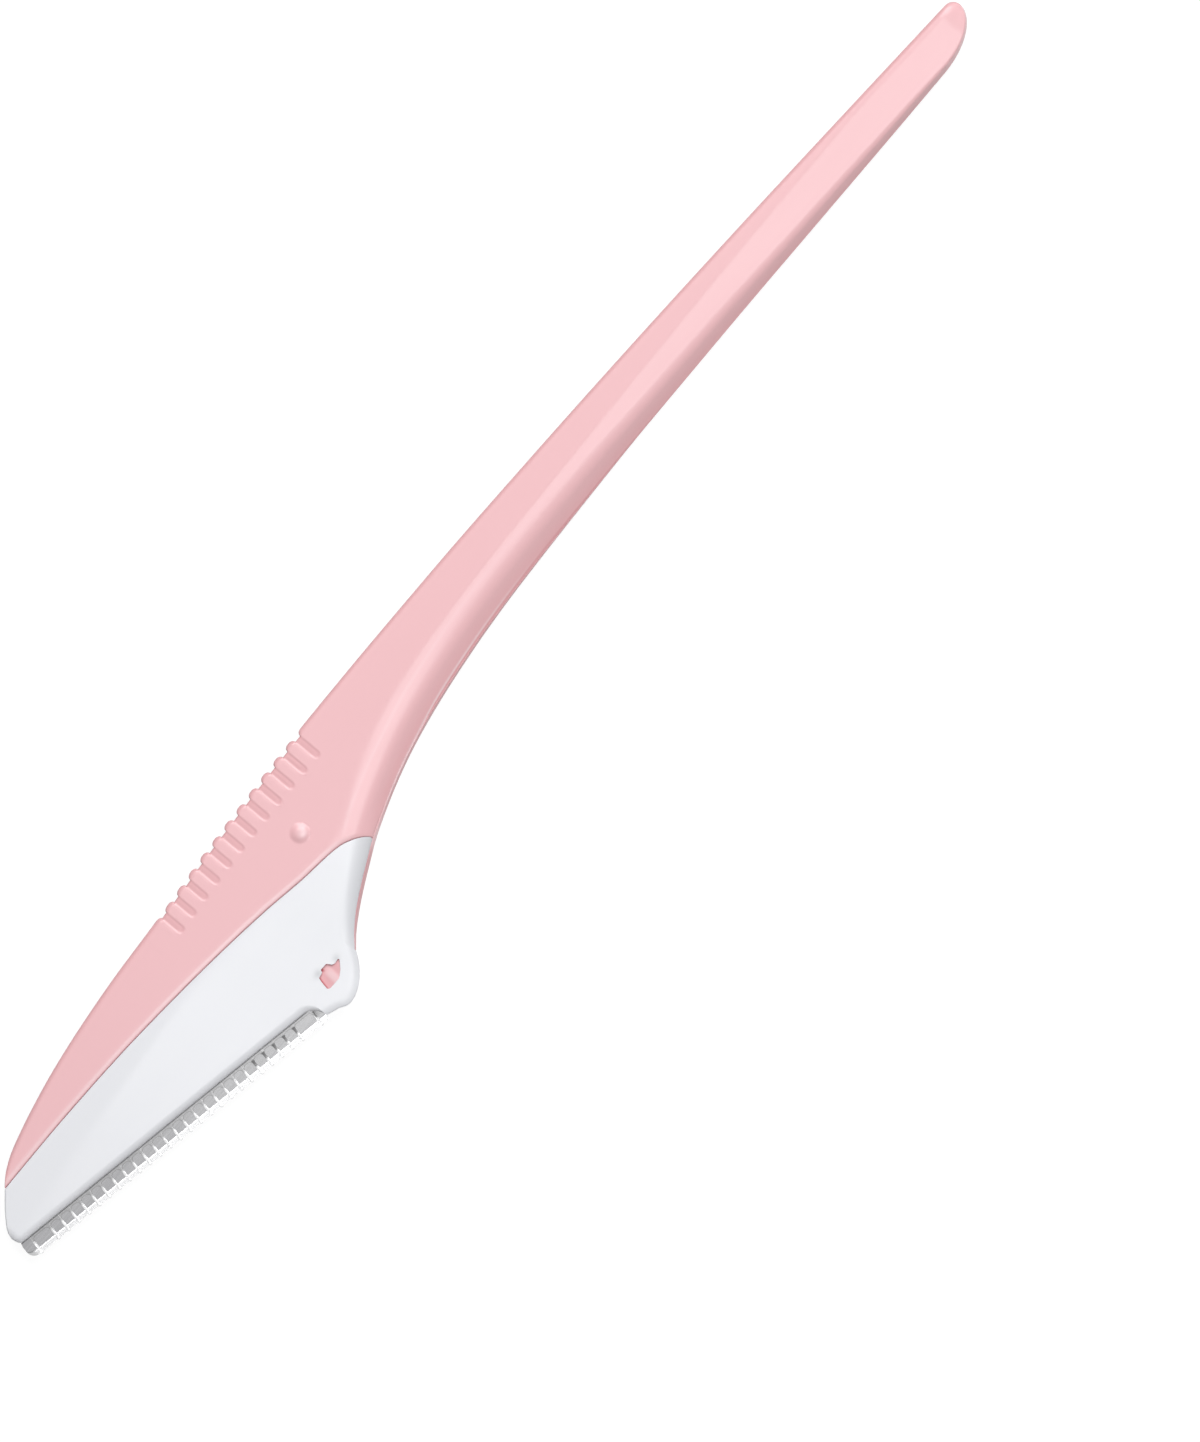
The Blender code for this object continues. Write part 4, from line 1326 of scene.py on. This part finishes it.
@dataclass
class EdgeFrame:
    """Blade coordinates: u along the cutting edge from the toe, v into the head, w out of it."""

    plan: RazorPlan
    lip_gap: Pair = (1.78, 1.82)
    gap_share: float = 0.75

    def in_gap(self, v: Array) -> Array:
        """Return the painted shade where the blade and the foil go into the gap under the lip."""
        return self.gap_share * ramp(v, *self.lip_gap)

    def laid(self, u: Array, v: Array, w: Array) -> Array:
        """Return points of the razor's plan for places in blade coordinates.

        Args:
            u: Places along the cutting edge.
            v: Places from it into the head.
            w: Heights above the mid-plane.

        Returns:
            Array with the three axes of the plan last.
        """
        plan = self.plan
        along = np.array((math.cos(plan.tilt), -math.sin(plan.tilt)))
        up = np.array((math.sin(plan.tilt), math.cos(plan.tilt)))
        lip = np.array((plan.blade_set, plan.lip_at_toe - plan.blade_set * math.tan(plan.tilt)))
        start = lip - up * plan.blade_show
        u, v, w = np.broadcast_arrays(u, v, w)
        flat = start + u[..., None] * along + v[..., None] * up
        return np.concatenate((flat, w[..., None]), axis=-1)


@dataclass
class Blade:
    """Ground steel strip with a honed edge and a rounded toe corner."""

    seat: EdgeFrame
    # Strip, its ground edge and its toe end.
    start: float = 0.004
    length: float = 36.85
    thickness: float = 0.25
    edge_thickness: float = 0.02
    honed: float = 0.5
    honed_line: float = 0.02
    corner_bevel: float = 0.5
    corner: float = 0.9
    toe_end: Points = ((0.0, 1.5), (0.1, 1.87), (0.6, 2.29), (1.05, 4.6))
    # Places of the sections, and rows of each.
    corner_stations: int = 30
    middle_run: Run = (1.6, 34.9, 56)
    heel_start: float = 35.1
    heel_stations: int = 16
    bevel_rows: int = 5
    flat_rows: int = 12
    hidden_rows: int = 4
    lip_spare: Pair = (0.04, 0.02)
    # Shade beside the bevel at the toe, and at the heel.
    rim_width: float = 0.12
    rim_margin: float = 0.001
    rim_share: float = 0.6
    rim_start: float = 0.5
    heel_shade: Spots = ((36.15, 1.45, 0.32, 0.5, 0.5),)

    def stations(self) -> Array:
        """Return the places of the sections along the edge, close at the toe's corner and the heel."""
        near = spread(self.start, self.corner, self.corner_stations, CROWDING)
        heel = np.linspace(self.heel_start, self.length, self.heel_stations)
        return np.concatenate((near, (self.toe_end[-1][0],), np.linspace(*self.middle_run), heel))

    def build(self) -> bpy.types.Object:
        """Make the piece: sections along the edge, each with its bevel and flat face.

        The edge lifts round the toe's corner along a quarter ellipse, and the thickness grows
        evenly over the bevel, from that of the edge to that of the flat.

        Returns:
            The piece, marked with its painted highlight and painted shade.
        """
        u = self.stations()[:, None]
        round_share = quarter(1.0 - ramp(u, 0.0, self.corner))
        low = self.corner * round_share
        high = np.interp(u, *np.array(self.toe_end).T)
        bevel = np.maximum(self.honed + self.corner_bevel * round_share, low + self.honed_line)
        flat = bevel + self.honed_line
        gap = zip(self.seat.lip_gap, self.lip_spare)
        first, last = (np.minimum(place, high - spare) for place, spare in gap)
        v = np.concatenate((
            spread(low, bevel, self.bevel_rows), spread(flat, first, self.flat_rows),
            spread(last, high, self.hidden_rows)), axis=1)
        w = (self.edge_thickness + (self.thickness - self.edge_thickness) * ramp(v, low, bevel)) / 2.0
        front = self.seat.laid(u, v, w)
        surface = Surface.lofted(np.concatenate((front, front[:, ::-1] * (1.0, 1.0, -1.0)), axis=1))
        piece = self.seat.plan.piece("ground_blade", surface, Slot.BLADE, "blade")
        rim = (v > bevel - self.rim_margin) * (1.0 - ramp(v, bevel, bevel + self.rim_width))
        rim = rim * (1.0 - ramp(u, self.rim_start * self.corner, self.corner))
        # Painted highlight on the honed bevel, which the finish also makes rougher; painted shade in the
        # gap under the lip, beside the bevel at the toe and at the heel.
        shares = {
            Mark.PAINTED_HIGHLIGHT: 1.0 - ramp(v, bevel, bevel + self.honed_line),
            Mark.PAINTED_SHADE: np.max((
                self.seat.in_gap(v), self.rim_share * rim, spotted(u, v, self.heel_shade)), axis=0)}
        for mark, share in shares.items():
            around = np.concatenate((share, share[:, ::-1]), axis=1).ravel()
            marked(piece, mark, np.concatenate((around, (0.0, 0.0))))
        return piece


@dataclass
class BladeGuard:
    """Foil folded over the edge, opened by arched windows between narrow ribs."""

    seat: EdgeFrame
    # Ribs and windows along the edge.
    start: float = 1.05
    end: float = 36.1
    rib: float = 0.26
    first_window: float = 1.85
    last_window: float = 2.12
    even_windows: int = 24
    window_height: float = 1.6
    window_round: float = 0.36
    # Folded foil.
    leg: float = 4.1
    fold_radius: float = 0.215
    fold_past_edge: float = 0.08
    foil: float = 0.08
    inside: float = 0.175
    crown: float = 0.006
    # Columns and rows of the grid.
    rib_columns: int = 5
    window_columns: int = 10
    fold_rows: int = 9
    side_rows: int = 12
    arch_rows: int = 9
    lip_rows: int = 5
    lip_band: float = 0.12
    lip_step: float = 0.3
    row_margin: float = 1e-6
    # Shares of light and shade, and how far they reach.
    # Painted highlights on the lower ends of the ribs and on the folded tip.
    rib_share: float = 0.62
    rib_highlight: Pair = (0.95, 1.4)
    tip_highlight: Pair = (0.0, 0.18)
    outline: float = 0.07
    outline_rows: Pair = (0.5, 1.0)
    outline_share: float = 0.34
    outlined: Pair = (0.8, 1.15)
    # Painted shade on the ribs near the heel: where it starts along the edge, where it rises and falls
    # along them, and how wide it is.
    rib_shade_start: Pair = (27.5, 28.5)
    rib_shade_rise: Pair = (0.75, 0.9)
    rib_shade_fall: Pair = (1.5, 1.62)
    rib_shade_width: float = 0.6
    rib_shade_share: float = 0.75

    @property
    def bend(self) -> float:
        """Return how far the foil runs round the fold, from its tip to a flat side."""
        return self.fold_radius * math.pi / 2.0

    @property
    def centre(self) -> float:
        """Return how far the fold's axis lies inside the cutting edge."""
        return self.inside - self.fold_past_edge

    def windows(self) -> tuple[Array, Array]:
        """Work out the windows: one of its own width at each end, and even ones between.

        Returns:
            Where each window starts along the edge, and where it ends.
        """
        first = (self.start + self.rib, self.start + self.rib + self.first_window)
        last = (self.end - self.rib - self.last_window, self.end - self.rib)
        begin, stop = first[1] + self.rib, last[0] - self.rib
        pitch = (stop - begin + self.rib) / self.even_windows
        left = begin + pitch * np.arange(self.even_windows)
        starts = np.concatenate(((first[0],), left, (last[0],)))
        ends = np.concatenate(((first[1],), left + pitch - self.rib, (last[1],)))
        return starts, ends

    def rib_middles(self) -> Array:
        """Return where the ribs' middle lines lie, and the guard's two ends."""
        starts, ends = self.windows()
        return np.concatenate(((self.start,), (ends[:-1] + starts[1:]) / 2.0, (self.end,)))

    def rows(self) -> tuple[Array, float]:
        """Work out the rows of the unrolled foil, close in the fold, the arches and at the lip.

        Returns:
            Distances from the fold's tip, below zero on the back, and that of the arches' tops.
        """
        arch = self.bend + self.window_height - self.centre
        lip = self.bend + self.seat.lip_gap[0] - self.centre
        hidden = self.bend + self.leg - self.centre
        rows = np.unique(np.concatenate((
            np.linspace(0.0, self.bend, self.fold_rows),
            np.linspace(self.bend, arch - self.window_round, self.side_rows)[1:],
            arch - self.window_round * (1.0 - np.sin(turned(self.arch_rows))[1:]),
            arch + self.outline * np.array(self.outline_rows),
            lip + np.linspace(0.0, self.lip_band, self.lip_rows),
            np.linspace(lip + self.lip_step, hidden, self.lip_rows))))
        return np.concatenate((-rows[:0:-1], rows)), arch

    def grid(self, s: Array, arch: float) -> tuple[Array, Array, Array]:
        """Return the places of the grid's points along the edge, and what is cut from it.

        In the rows of the arches, the columns beside a window bend in along a quarter circle.

        Args:
            s: Rows, as distances from the fold's tip.
            arch: Distance of the arches' tops.

        Returns:
            Places for each row and column, cells that are kept, and distances from the windows.
        """
        inset = self.window_round * quarter(ramp(np.abs(s), arch - self.window_round, arch))
        starts, ends = (edges[None, :, None] for edges in self.windows())
        middles = self.rib_middles()
        left, right = middles[None, :-1, None], middles[None, 1:, None]
        opened, closed = starts + inset[:, None, None], ends - inset[:, None, None]
        cell = np.concatenate((
            spread(left, opened, self.rib_columns + 1)[..., :-1],
            spread(opened, closed, self.window_columns + 1)[..., :-1],
            spread(closed, right, self.rib_columns + 1)), axis=2)
        turn = self.window_round
        beside = np.maximum(np.maximum(starts + turn - cell, cell - ends + turn), 0.0)
        above = np.maximum(np.abs(s) - arch + turn, 0.0)[:, None, None]
        away = np.hypot(beside, above) - turn
        u, away = (np.concatenate((each[:, :, :-1].reshape(len(s), -1), each[:, -1, -1:]), axis=1)
                   for each in (cell, away))
        column = np.arange(u.shape[1] - 1) % (2 * self.rib_columns + self.window_columns)
        in_window = (column >= self.rib_columns) & (column < self.rib_columns + self.window_columns)
        in_rows = np.abs(s) < arch + self.row_margin
        kept = ~((in_rows[:-1] & in_rows[1:])[:, None] & in_window[None, :])
        return u, kept, away

    def shares(self, u: Array, v: Array, aside: Array, away: Array) -> dict[Mark, Array]:
        """Return the foil's painted highlights and painted shade.

        Painted highlights brighten its folded tip and the lower ends of its ribs. Painted shade
        darkens it in the gap under the lip, round the arches, and on the ribs near the heel.

        Args:
            u: Places along the cutting edge.
            v: Places from it into the head.
            aside: Distances from the nearest rib's middle line.
            away: Distances from the nearest window.

        Returns:
            A grid of shares for each mark.
        """
        ribs = self.rib_share * (1.0 - ease(ramp(v, *self.rib_highlight)))
        stain_and_shade = ramp(u, *self.rib_shade_start) * (aside < self.rib_shade_width * self.rib)
        stain_and_shade = stain_and_shade * between(v, self.rib_shade_rise, self.rib_shade_fall)
        near = 1.0 - ramp(away, self.outline_rows[0] * self.outline, self.outline)
        return {
            Mark.PAINTED_HIGHLIGHT: np.maximum(ribs, 1.0 - ramp(v, *self.tip_highlight)),
            Mark.PAINTED_SHADE: np.max((
                self.seat.in_gap(v), self.rib_shade_share * stain_and_shade,
                self.outline_share * near * ramp(v, *self.outlined)), axis=0)}

    def build(self) -> bpy.types.Object:
        """Make the piece from an unrolled grid of ribs and windows, which is then folded.

        Folding turns the rows near the tip round a cylinder, and lays the others straight up
        both sides of the blade. The foil's two skins are the fold with two radii.

        Returns:
            The piece, marked with its painted highlights and painted shade.
        """
        s, arch = self.rows()
        u, kept, away = self.grid(s, arch)
        aside = np.abs(u[..., None] - self.rib_middles()).min(axis=-1)
        raised = self.crown * (1.0 - ramp(aside, 0.0, self.rib / 2.0) ** 2)
        turn = np.clip(s / self.fold_radius, -math.pi / 2.0, math.pi / 2.0)[:, None]
        height = self.centre + np.maximum(np.abs(s) - self.bend, 0.0)[:, None]
        skins = []
        for side, crown in ((0.5, raised), (-0.5, 0.0)):
            radius = self.fold_radius + side * self.foil + crown
            skins.append(self.seat.laid(u, height - radius * np.cos(turn), radius * np.sin(turn)))
        surface, used = self.sheet(skins[0], skins[1], kept)
        piece = self.seat.plan.piece("foil_guard", surface, Slot.GUARD, "blade_guard")
        v = height - self.fold_radius * np.cos(turn) + np.zeros_like(u)
        for mark, share in self.shares(u, v, aside, away).items():
            marked(piece, mark, np.concatenate((share.ravel(), share.ravel()))[used])
        return piece

    @staticmethod
    def sheet(outer: Array, inner: Array, kept: Array) -> tuple[Surface, Array]:
        """Return a closed sheet between two grids of points, with faces only where they are kept.

        A wall closes each edge of the kept cells that has no kept cell on its other side.

        Args:
            outer: Grid of the outer skin's points.
            inner: Grid of the inner skin's points.
            kept: Grid of cells, true where there is foil.

        Returns:
            The closed surface, and which of the grids' points it uses.
        """
        rows, columns = outer.shape[:2]
        index = np.arange(rows * columns).reshape(rows, columns)
        corners = np.stack((index[:-1, :-1], index[1:, :-1], index[1:, 1:], index[:-1, 1:]), axis=-1)
        top = corners[kept]
        shift = rows * columns
        bottom = top[:, ::-1] + shift
        padded = np.pad(kept, 1)
        walls = []
        for side, (row, column) in enumerate(((1, 0), (2, 1), (1, 2), (0, 1))):
            beyond = padded[row:row + kept.shape[0], column:column + kept.shape[1]]
            edge = corners[kept & ~beyond]
            start, stop = edge[:, side], edge[:, (side + 1) % 4]
            walls.append(np.stack((stop, start, start + shift, stop + shift), axis=-1))
        faces = np.concatenate((top, bottom, *walls))
        points = np.concatenate((outer.reshape(-1, 3), inner.reshape(-1, 3)))
        used, quads = np.unique(faces, return_inverse=True)
        surface = Surface(points[used], quads.reshape(faces.shape), np.empty((0, 3), dtype=int))
        return surface.facing_out(), used


class Shade:
    """A socket in a material, on which expressions add Math nodes."""

    def __init__(self, graph: "Graph", socket: Any) -> None:
        """Keep the graph and the output socket."""
        self.graph = graph
        self.socket = socket

    def __add__(self, other: Any) -> "Shade":
        """Return the sum."""
        return self.graph.math("ADD", self, other)

    __radd__ = __add__

    def __mul__(self, other: Any) -> "Shade":
        """Return the product."""
        return self.graph.math("MULTIPLY", self, other)

    __rmul__ = __mul__

    def __sub__(self, other: Any) -> "Shade":
        """Return this less the other."""
        return self.graph.math("SUBTRACT", self, other)

    def __rsub__(self, other: Any) -> "Shade":
        """Return the other less this."""
        return self.graph.math("SUBTRACT", other, self)

    def clamp(self) -> "Shade":
        """Return the value kept between 0 and 1."""
        return self.graph.node("ShaderNodeClamp", {}, {"Value": self})


class Graph:
    """The node tree of one material or of the world."""

    def __init__(self, owner: Any) -> None:
        """Give the material or the world nodes, and keep its tree."""
        owner.use_nodes = True
        self.tree = owner.node_tree

    def node(self, kind: str, settings: dict[str, Any], inputs: dict[Any, Any], out: Any = 0) -> Shade:
        """Add a node, set it up, and fill its inputs.

        Args:
            kind: The node's type.
            settings: Properties that are set first.
            inputs: Numbers, colours or sockets, by the name or the number of the input.
            out: Name or number of the output that is returned.

        Returns:
            The chosen output.
        """
        made = self.tree.nodes.new(kind)
        for key, value in settings.items():
            setattr(made, key, value)
        self.fill(made, inputs)
        return Shade(self, made.outputs[out] if made.outputs else None)

    def fill(self, made: Any, inputs: dict[Any, Any]) -> None:
        """Link or set the inputs of a node.

        Args:
            made: The node, or the name of one that the tree came with.
            inputs: Numbers, colours or sockets, by the name or the number of the input.
        """
        if isinstance(made, str):
            made = self.tree.nodes[made]
        for key, value in inputs.items():
            if isinstance(value, Shade):
                self.tree.links.new(value.socket, made.inputs[key])
            else:
                made.inputs[key].default_value = value

    def math(self, operation: str, first: Any, second: Any) -> Shade:
        """Return two values put through one Math node."""
        return self.node("ShaderNodeMath", {"operation": operation}, {0: first, 1: second})

    def place(self) -> Shade:
        """Return the Object coordinates."""
        return self.node("ShaderNodeTexCoord", {}, {}, "Object")

    def marked(self, mark: Mark) -> Shade:
        """Return a share that is stored on the mesh."""
        return self.node("ShaderNodeAttribute", {"attribute_name": mark.value}, {}, "Fac")

    def noise(self, at: Shade, scale: float, detail: float, rough: float = 0.5) -> Shade:
        """Return a noise value at a place."""
        inputs = {"Vector": at, "Scale": scale, "Detail": detail, "Roughness": rough}
        return self.node("ShaderNodeTexNoise", {}, inputs, "Fac")

    def stretched(self, at: Shade, turn: float, scale: Triple) -> Shade:
        """Return a place turned about z and stretched, for patterns that run one way."""
        inputs = {"Vector": at, "Rotation": (0.0, 0.0, turn), "Scale": scale}
        return self.node("ShaderNodeMapping", {"vector_type": "POINT"}, inputs)

    def mixed(self, share: Any, first: Any, second: Any) -> Shade:
        """Return a colour between two colours, which are the node's sockets 6 and 7."""
        return self.node("ShaderNodeMix", {"data_type": "RGBA"}, {0: share, 6: first, 7: second}, 2)

    def bumped(self, strength: float, depth: float, height: Shade) -> Shade:
        """Return a normal that follows a height, which is as deep as the given distance."""
        return self.node("ShaderNodeBump", {}, {"Strength": strength, "Distance": depth, "Height": height})


@dataclass(frozen=True)
class Tones:
    """Colours of a finish, as display values of 0 to 255."""

    base: Triple
    second: Triple
    # Colours of the painted highlights and of the painted shade.
    bright: Triple
    deep: Triple

    @staticmethod
    def linear(shown: Triple) -> tuple[float, ...]:
        """Turn a colour's display values into scene-linear ones.

        Each value is taken as a share of 255. A dark one is divided by 12.92, and another is
        shifted by 0.055, scaled back and raised to the power 2.4.

        Args:
            shown: Red, green and blue.

        Returns:
            Red, green, blue and full alpha.
        """
        shares = np.array(shown) / 255.0
        lit = np.where(shares <= 0.04045, shares / 12.92, ((shares + 0.055) / 1.055) ** 2.4)
        return (*lit.tolist(), 1.0)

    def mixed(self, graph: Graph, share: Shade) -> Shade:
        """Mix the tones on a surface.

        Args:
            graph: Graph of the finish.
            share: Share of the second tone in the base.

        Returns:
            The colour, brightened by the painted highlights and darkened by the painted shade marked on the
            piece.
        """
        colour = graph.mixed(share, self.linear(self.base), self.linear(self.second))
        colour = graph.mixed(graph.marked(Mark.PAINTED_HIGHLIGHT), colour, self.linear(self.bright))
        return graph.mixed(graph.marked(Mark.PAINTED_SHADE), colour, self.linear(self.deep))


@dataclass(frozen=True)
class MouldedPlastic:
    """Gloss plastic straight from the mould: even colour, faint flow lines and a fine texture."""

    name: str
    tones: Tones
    flow_stretch: Triple = (60.0, 420.0, 420.0)
    cloud_scale: float = 90.0
    fine_scale: float = 9000.0
    wave_scale: float = 700.0
    flow_part: float = 0.6
    second_share: float = 0.1
    second_change: float = 0.25
    roughness: float = 0.32
    fine_roughness: float = 0.08
    flow_roughness: float = 0.06
    texture_strength: float = 0.35
    texture_height: float = 0.000004
    coat: float = 0.12
    coat_roughness: float = 0.12

    def material(self) -> bpy.types.Material:
        """Make the finish a material.

        Stretched noise gives the flow lines and even noise the clouds. Their mix moves the share
        of the second tone. Fine noise and the flow lines move the roughness, and fine and broader
        noise, half and half, the bumps.

        Returns:
            The material.
        """
        made = bpy.data.materials.new(self.name)
        graph = Graph(made)
        at = graph.place()
        flow = graph.noise(graph.stretched(at, 0.0, self.flow_stretch), scale=1.0, detail=2.0)
        cloud = graph.noise(at, self.cloud_scale, detail=2.0)
        fine = graph.noise(at, self.fine_scale, detail=2.0)
        wave = graph.noise(at, self.wave_scale, detail=1.0)
        mottle = flow * self.flow_part + cloud * (1.0 - self.flow_part) - 0.5
        share = (mottle * self.second_change + self.second_share).clamp()
        gloss = (fine - 0.5) * self.fine_roughness + (flow - 0.5) * self.flow_roughness
        # The base colour carries the painted highlights and painted shade marked on the piece.
        graph.fill("Principled BSDF", {
            "Base Color": self.tones.mixed(graph, share),
            "Roughness": self.roughness + gloss,
            "Normal": graph.bumped(self.texture_strength, self.texture_height, fine * 0.5 + wave * 0.5),
            "Coat Weight": self.coat,
            "Coat Roughness": self.coat_roughness})
        return made


@dataclass(frozen=True)
class GroundSteel:
    """Steel with fine grinding lines that run one way, with painted highlights and painted shade where it
    is marked.
    """

    name: str
    tones: Tones
    grain: Grain
    tilt: float
    line_scale: float = 9000.0
    line_length: float = 120.0
    line_rough: float = 0.6
    line_change: float = 0.5
    stain_scale: float = 260.0
    stain_change: float = 0.3
    toe: float = -0.075
    rise: float = 20.0
    roughness: float = 0.16
    line_roughness: float = 0.12
    highlight_roughness: float = 0.08
    groove_strength: float = 0.4
    groove_height: float = 0.000002

    def material(self) -> bpy.types.Material:
        """Make the finish a material, a little brighter towards the heel.

        Noise stretched along the grain gives the grinding lines. They move the share of the
        second tone, the roughness and the bumps, and even noise stains the steel besides.

        Returns:
            The material.
        """
        made = bpy.data.materials.new(self.name)
        graph = Graph(made)
        at = graph.place()
        fine, long = self.line_scale, self.line_length
        stretch = (long, fine, long) if self.grain is Grain.ALONG_EDGE else (fine, long, long)
        laid = graph.stretched(at, self.tilt, stretch)
        lines = graph.noise(laid, scale=1.0, detail=4.0, rough=self.line_rough) - 0.5
        stain_and_shade = graph.noise(at, self.stain_scale, detail=3.0) - 0.5
        along = graph.node("ShaderNodeSeparateXYZ", {}, {"Vector": at}, "X")
        share = lines * self.line_change + stain_and_shade * self.stain_change + (along - self.toe) * self.rise
        change = lines * self.line_roughness + graph.marked(Mark.PAINTED_HIGHLIGHT) * self.highlight_roughness
        # The base colour carries the painted highlights and painted shade marked on the piece.
        graph.fill("Principled BSDF", {
            "Base Color": self.tones.mixed(graph, share.clamp()),
            "Roughness": self.roughness + change,
            "Normal": graph.bumped(self.groove_strength, self.groove_height, lines),
            "Metallic": 1.0})
        return made


@dataclass
class Studio:
    """Camera, lights, floor and surround."""

    plan: RazorPlan
    # View in millimetres of the plan, and camera.
    frame_height: float = 139.03
    frame_middle: Pair = (74.79, -16.94)
    view_turn: float = math.radians(-50.0)
    distance: float = 2.0
    sensor: float = 36.0
    clip: Pair = (0.01, 20.0)
    # Lights, in metres and watts.
    key_power: float = 20.2
    key_size: float = 1.1
    key_from: Triple = (0.72, 0.42, 1.245)
    glint_power: float = 1.65
    glint_size: float = 0.3
    glint_from: Triple = (0.03, -0.24, 0.87)
    ambient: float = 0.13
    # Floor in metres, and how white it shows.
    floor_size: float = 3.0
    floor_gap: float = 0.00005
    paper: float = 0.8
    glow: float = 1.15
    glow_share: float = 0.8

    def camera(self) -> None:
        """Look straight down on the razor from far off, turned as in the photograph."""
        lens = bpy.data.cameras.new("camera")
        lens.sensor_width = self.sensor
        lens.lens = self.sensor * self.distance / (self.frame_height * MM)
        lens.clip_start, lens.clip_end = self.clip
        eye = added("camera", lens)
        x, y = self.frame_middle
        eye.location = self.plan.origin + np.array((x * MM, y * MM, self.distance))
        eye.rotation_euler = (0.0, 0.0, self.view_turn)
        bpy.context.scene.camera = eye

    def light(self, name: str, place: Triple, size: float, power: float) -> None:
        """Add a square soft light that points at the razor.

        Args:
            name: Name of the light.
            place: Where it stands, in metres.
            size: Length of its sides in metres.
            power: Its power in watts.
        """
        lamp = bpy.data.lights.new(name, "AREA")
        lamp.shape = "SQUARE"
        lamp.size = size
        lamp.energy = power
        softbox = added(name, lamp)
        softbox.location = place
        away = np.array(place) / np.linalg.norm(place)
        heading = math.atan2(away[1], away[0]) + math.pi / 2.0
        softbox.rotation_euler = (math.acos(away[2]), 0.0, heading)
        softbox.visible_camera = False

    def seen(self, graph: Graph) -> Shade:
        """Return 1 for rays of the camera and of mirrors and glass, else 0."""
        kinds = ("Is Camera Ray", "Is Glossy Ray", "Is Transmission Ray")
        camera, glossy, clear = (graph.node("ShaderNodeLightPath", {}, {}, kind) for kind in kinds)
        return (camera + glossy + clear).clamp()

    def surround(self) -> None:
        """Give the world a white background and a plain even light."""
        world = bpy.data.worlds.new("surround")
        bpy.context.scene.world = world
        graph = Graph(world)
        strength = self.seen(graph) * (1.0 - self.ambient) + self.ambient
        graph.fill("Background", {"Color": WHITE, "Strength": strength})

    def floor(self) -> None:
        """Lay a white floor that shows the soft shadow of the razor."""
        half = self.floor_size / 2.0
        low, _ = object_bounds()
        level = low.z - self.floor_gap
        mesh = bpy.data.meshes.new("floor")
        corners = [(-half, -half, level), (half, -half, level), (half, half, level), (-half, half, level)]
        mesh.from_pydata(corners, [], [(0, 1, 2, 3)])
        made = bpy.data.materials.new("floor_white")
        graph = Graph(made)
        made.node_tree.nodes.clear()
        colour = (self.paper, self.paper, self.paper, 1.0)
        paper = graph.node("ShaderNodeBsdfDiffuse", {}, {"Color": colour})
        glow = graph.node("ShaderNodeEmission", {}, {"Color": WHITE, "Strength": self.glow})
        share = self.seen(graph) * self.glow_share
        both = graph.node("ShaderNodeMixShader", {}, {0: share, 1: paper, 2: glow})
        graph.node("ShaderNodeOutputMaterial", {}, {"Surface": both})
        mesh.materials.append(made)
        ground = added("floor", mesh)
        ground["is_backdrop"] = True

    def build(self) -> None:
        """Set up everything round the razor."""
        self.camera()
        self.light("key_softbox", self.key_from, self.key_size, self.key_power)
        self.light("glint_softbox", self.glint_from, self.glint_size, self.glint_power)
        self.surround()
        self.floor()
        bpy.context.scene.view_settings.view_transform = "Standard"


def main() -> None:
    """Build the razor piece by piece, dress it and light it."""
    logging.basicConfig(level=logging.INFO, format="%(name)s %(message)s")
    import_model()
    plan = RazorPlan()
    plan.place()
    handle, holder, window, seat = Handle(plan), BladeHolder(plan), CatchWindow(), EdgeFrame(plan)
    # In each finish, bright is the colour of its painted highlights and deep that of its painted shade.
    rose = MouldedPlastic("rose_plastic", Tones(
        base=(241, 191, 195), second=(233, 178, 183), bright=(252, 226, 229), deep=(188, 90, 96)))
    white = MouldedPlastic("white_plastic", Tones(
        base=(234, 235, 239), second=(226, 228, 233), bright=(242, 243, 246), deep=(203, 204, 208)))
    # Painted shade of the blade and the foil: under the lip, round the arches, beside the bevel at the toe
    # and on the ribs near the heel.
    gap = (63, 63, 63)
    steel = GroundSteel("ground_steel", Tones(
        base=(158, 158, 160), second=(192, 192, 193), bright=(194, 194, 195), deep=gap),
        Grain.ALONG_EDGE, plan.tilt)
    foil = GroundSteel("bright_foil", Tones(
        base=(158, 158, 159), second=(188, 188, 189), bright=(234, 234, 235), deep=gap),
        Grain.ACROSS_EDGE, plan.tilt)
    handle.build(window).data.materials.append(rose.material())
    holder.build(handle, window).data.materials.append(white.material())
    Blade(seat).build().data.materials.append(steel.material())
    BladeGuard(seat).build().data.materials.append(foil.material())
    Studio(plan).build()


if __name__ == "__main__":
    main()
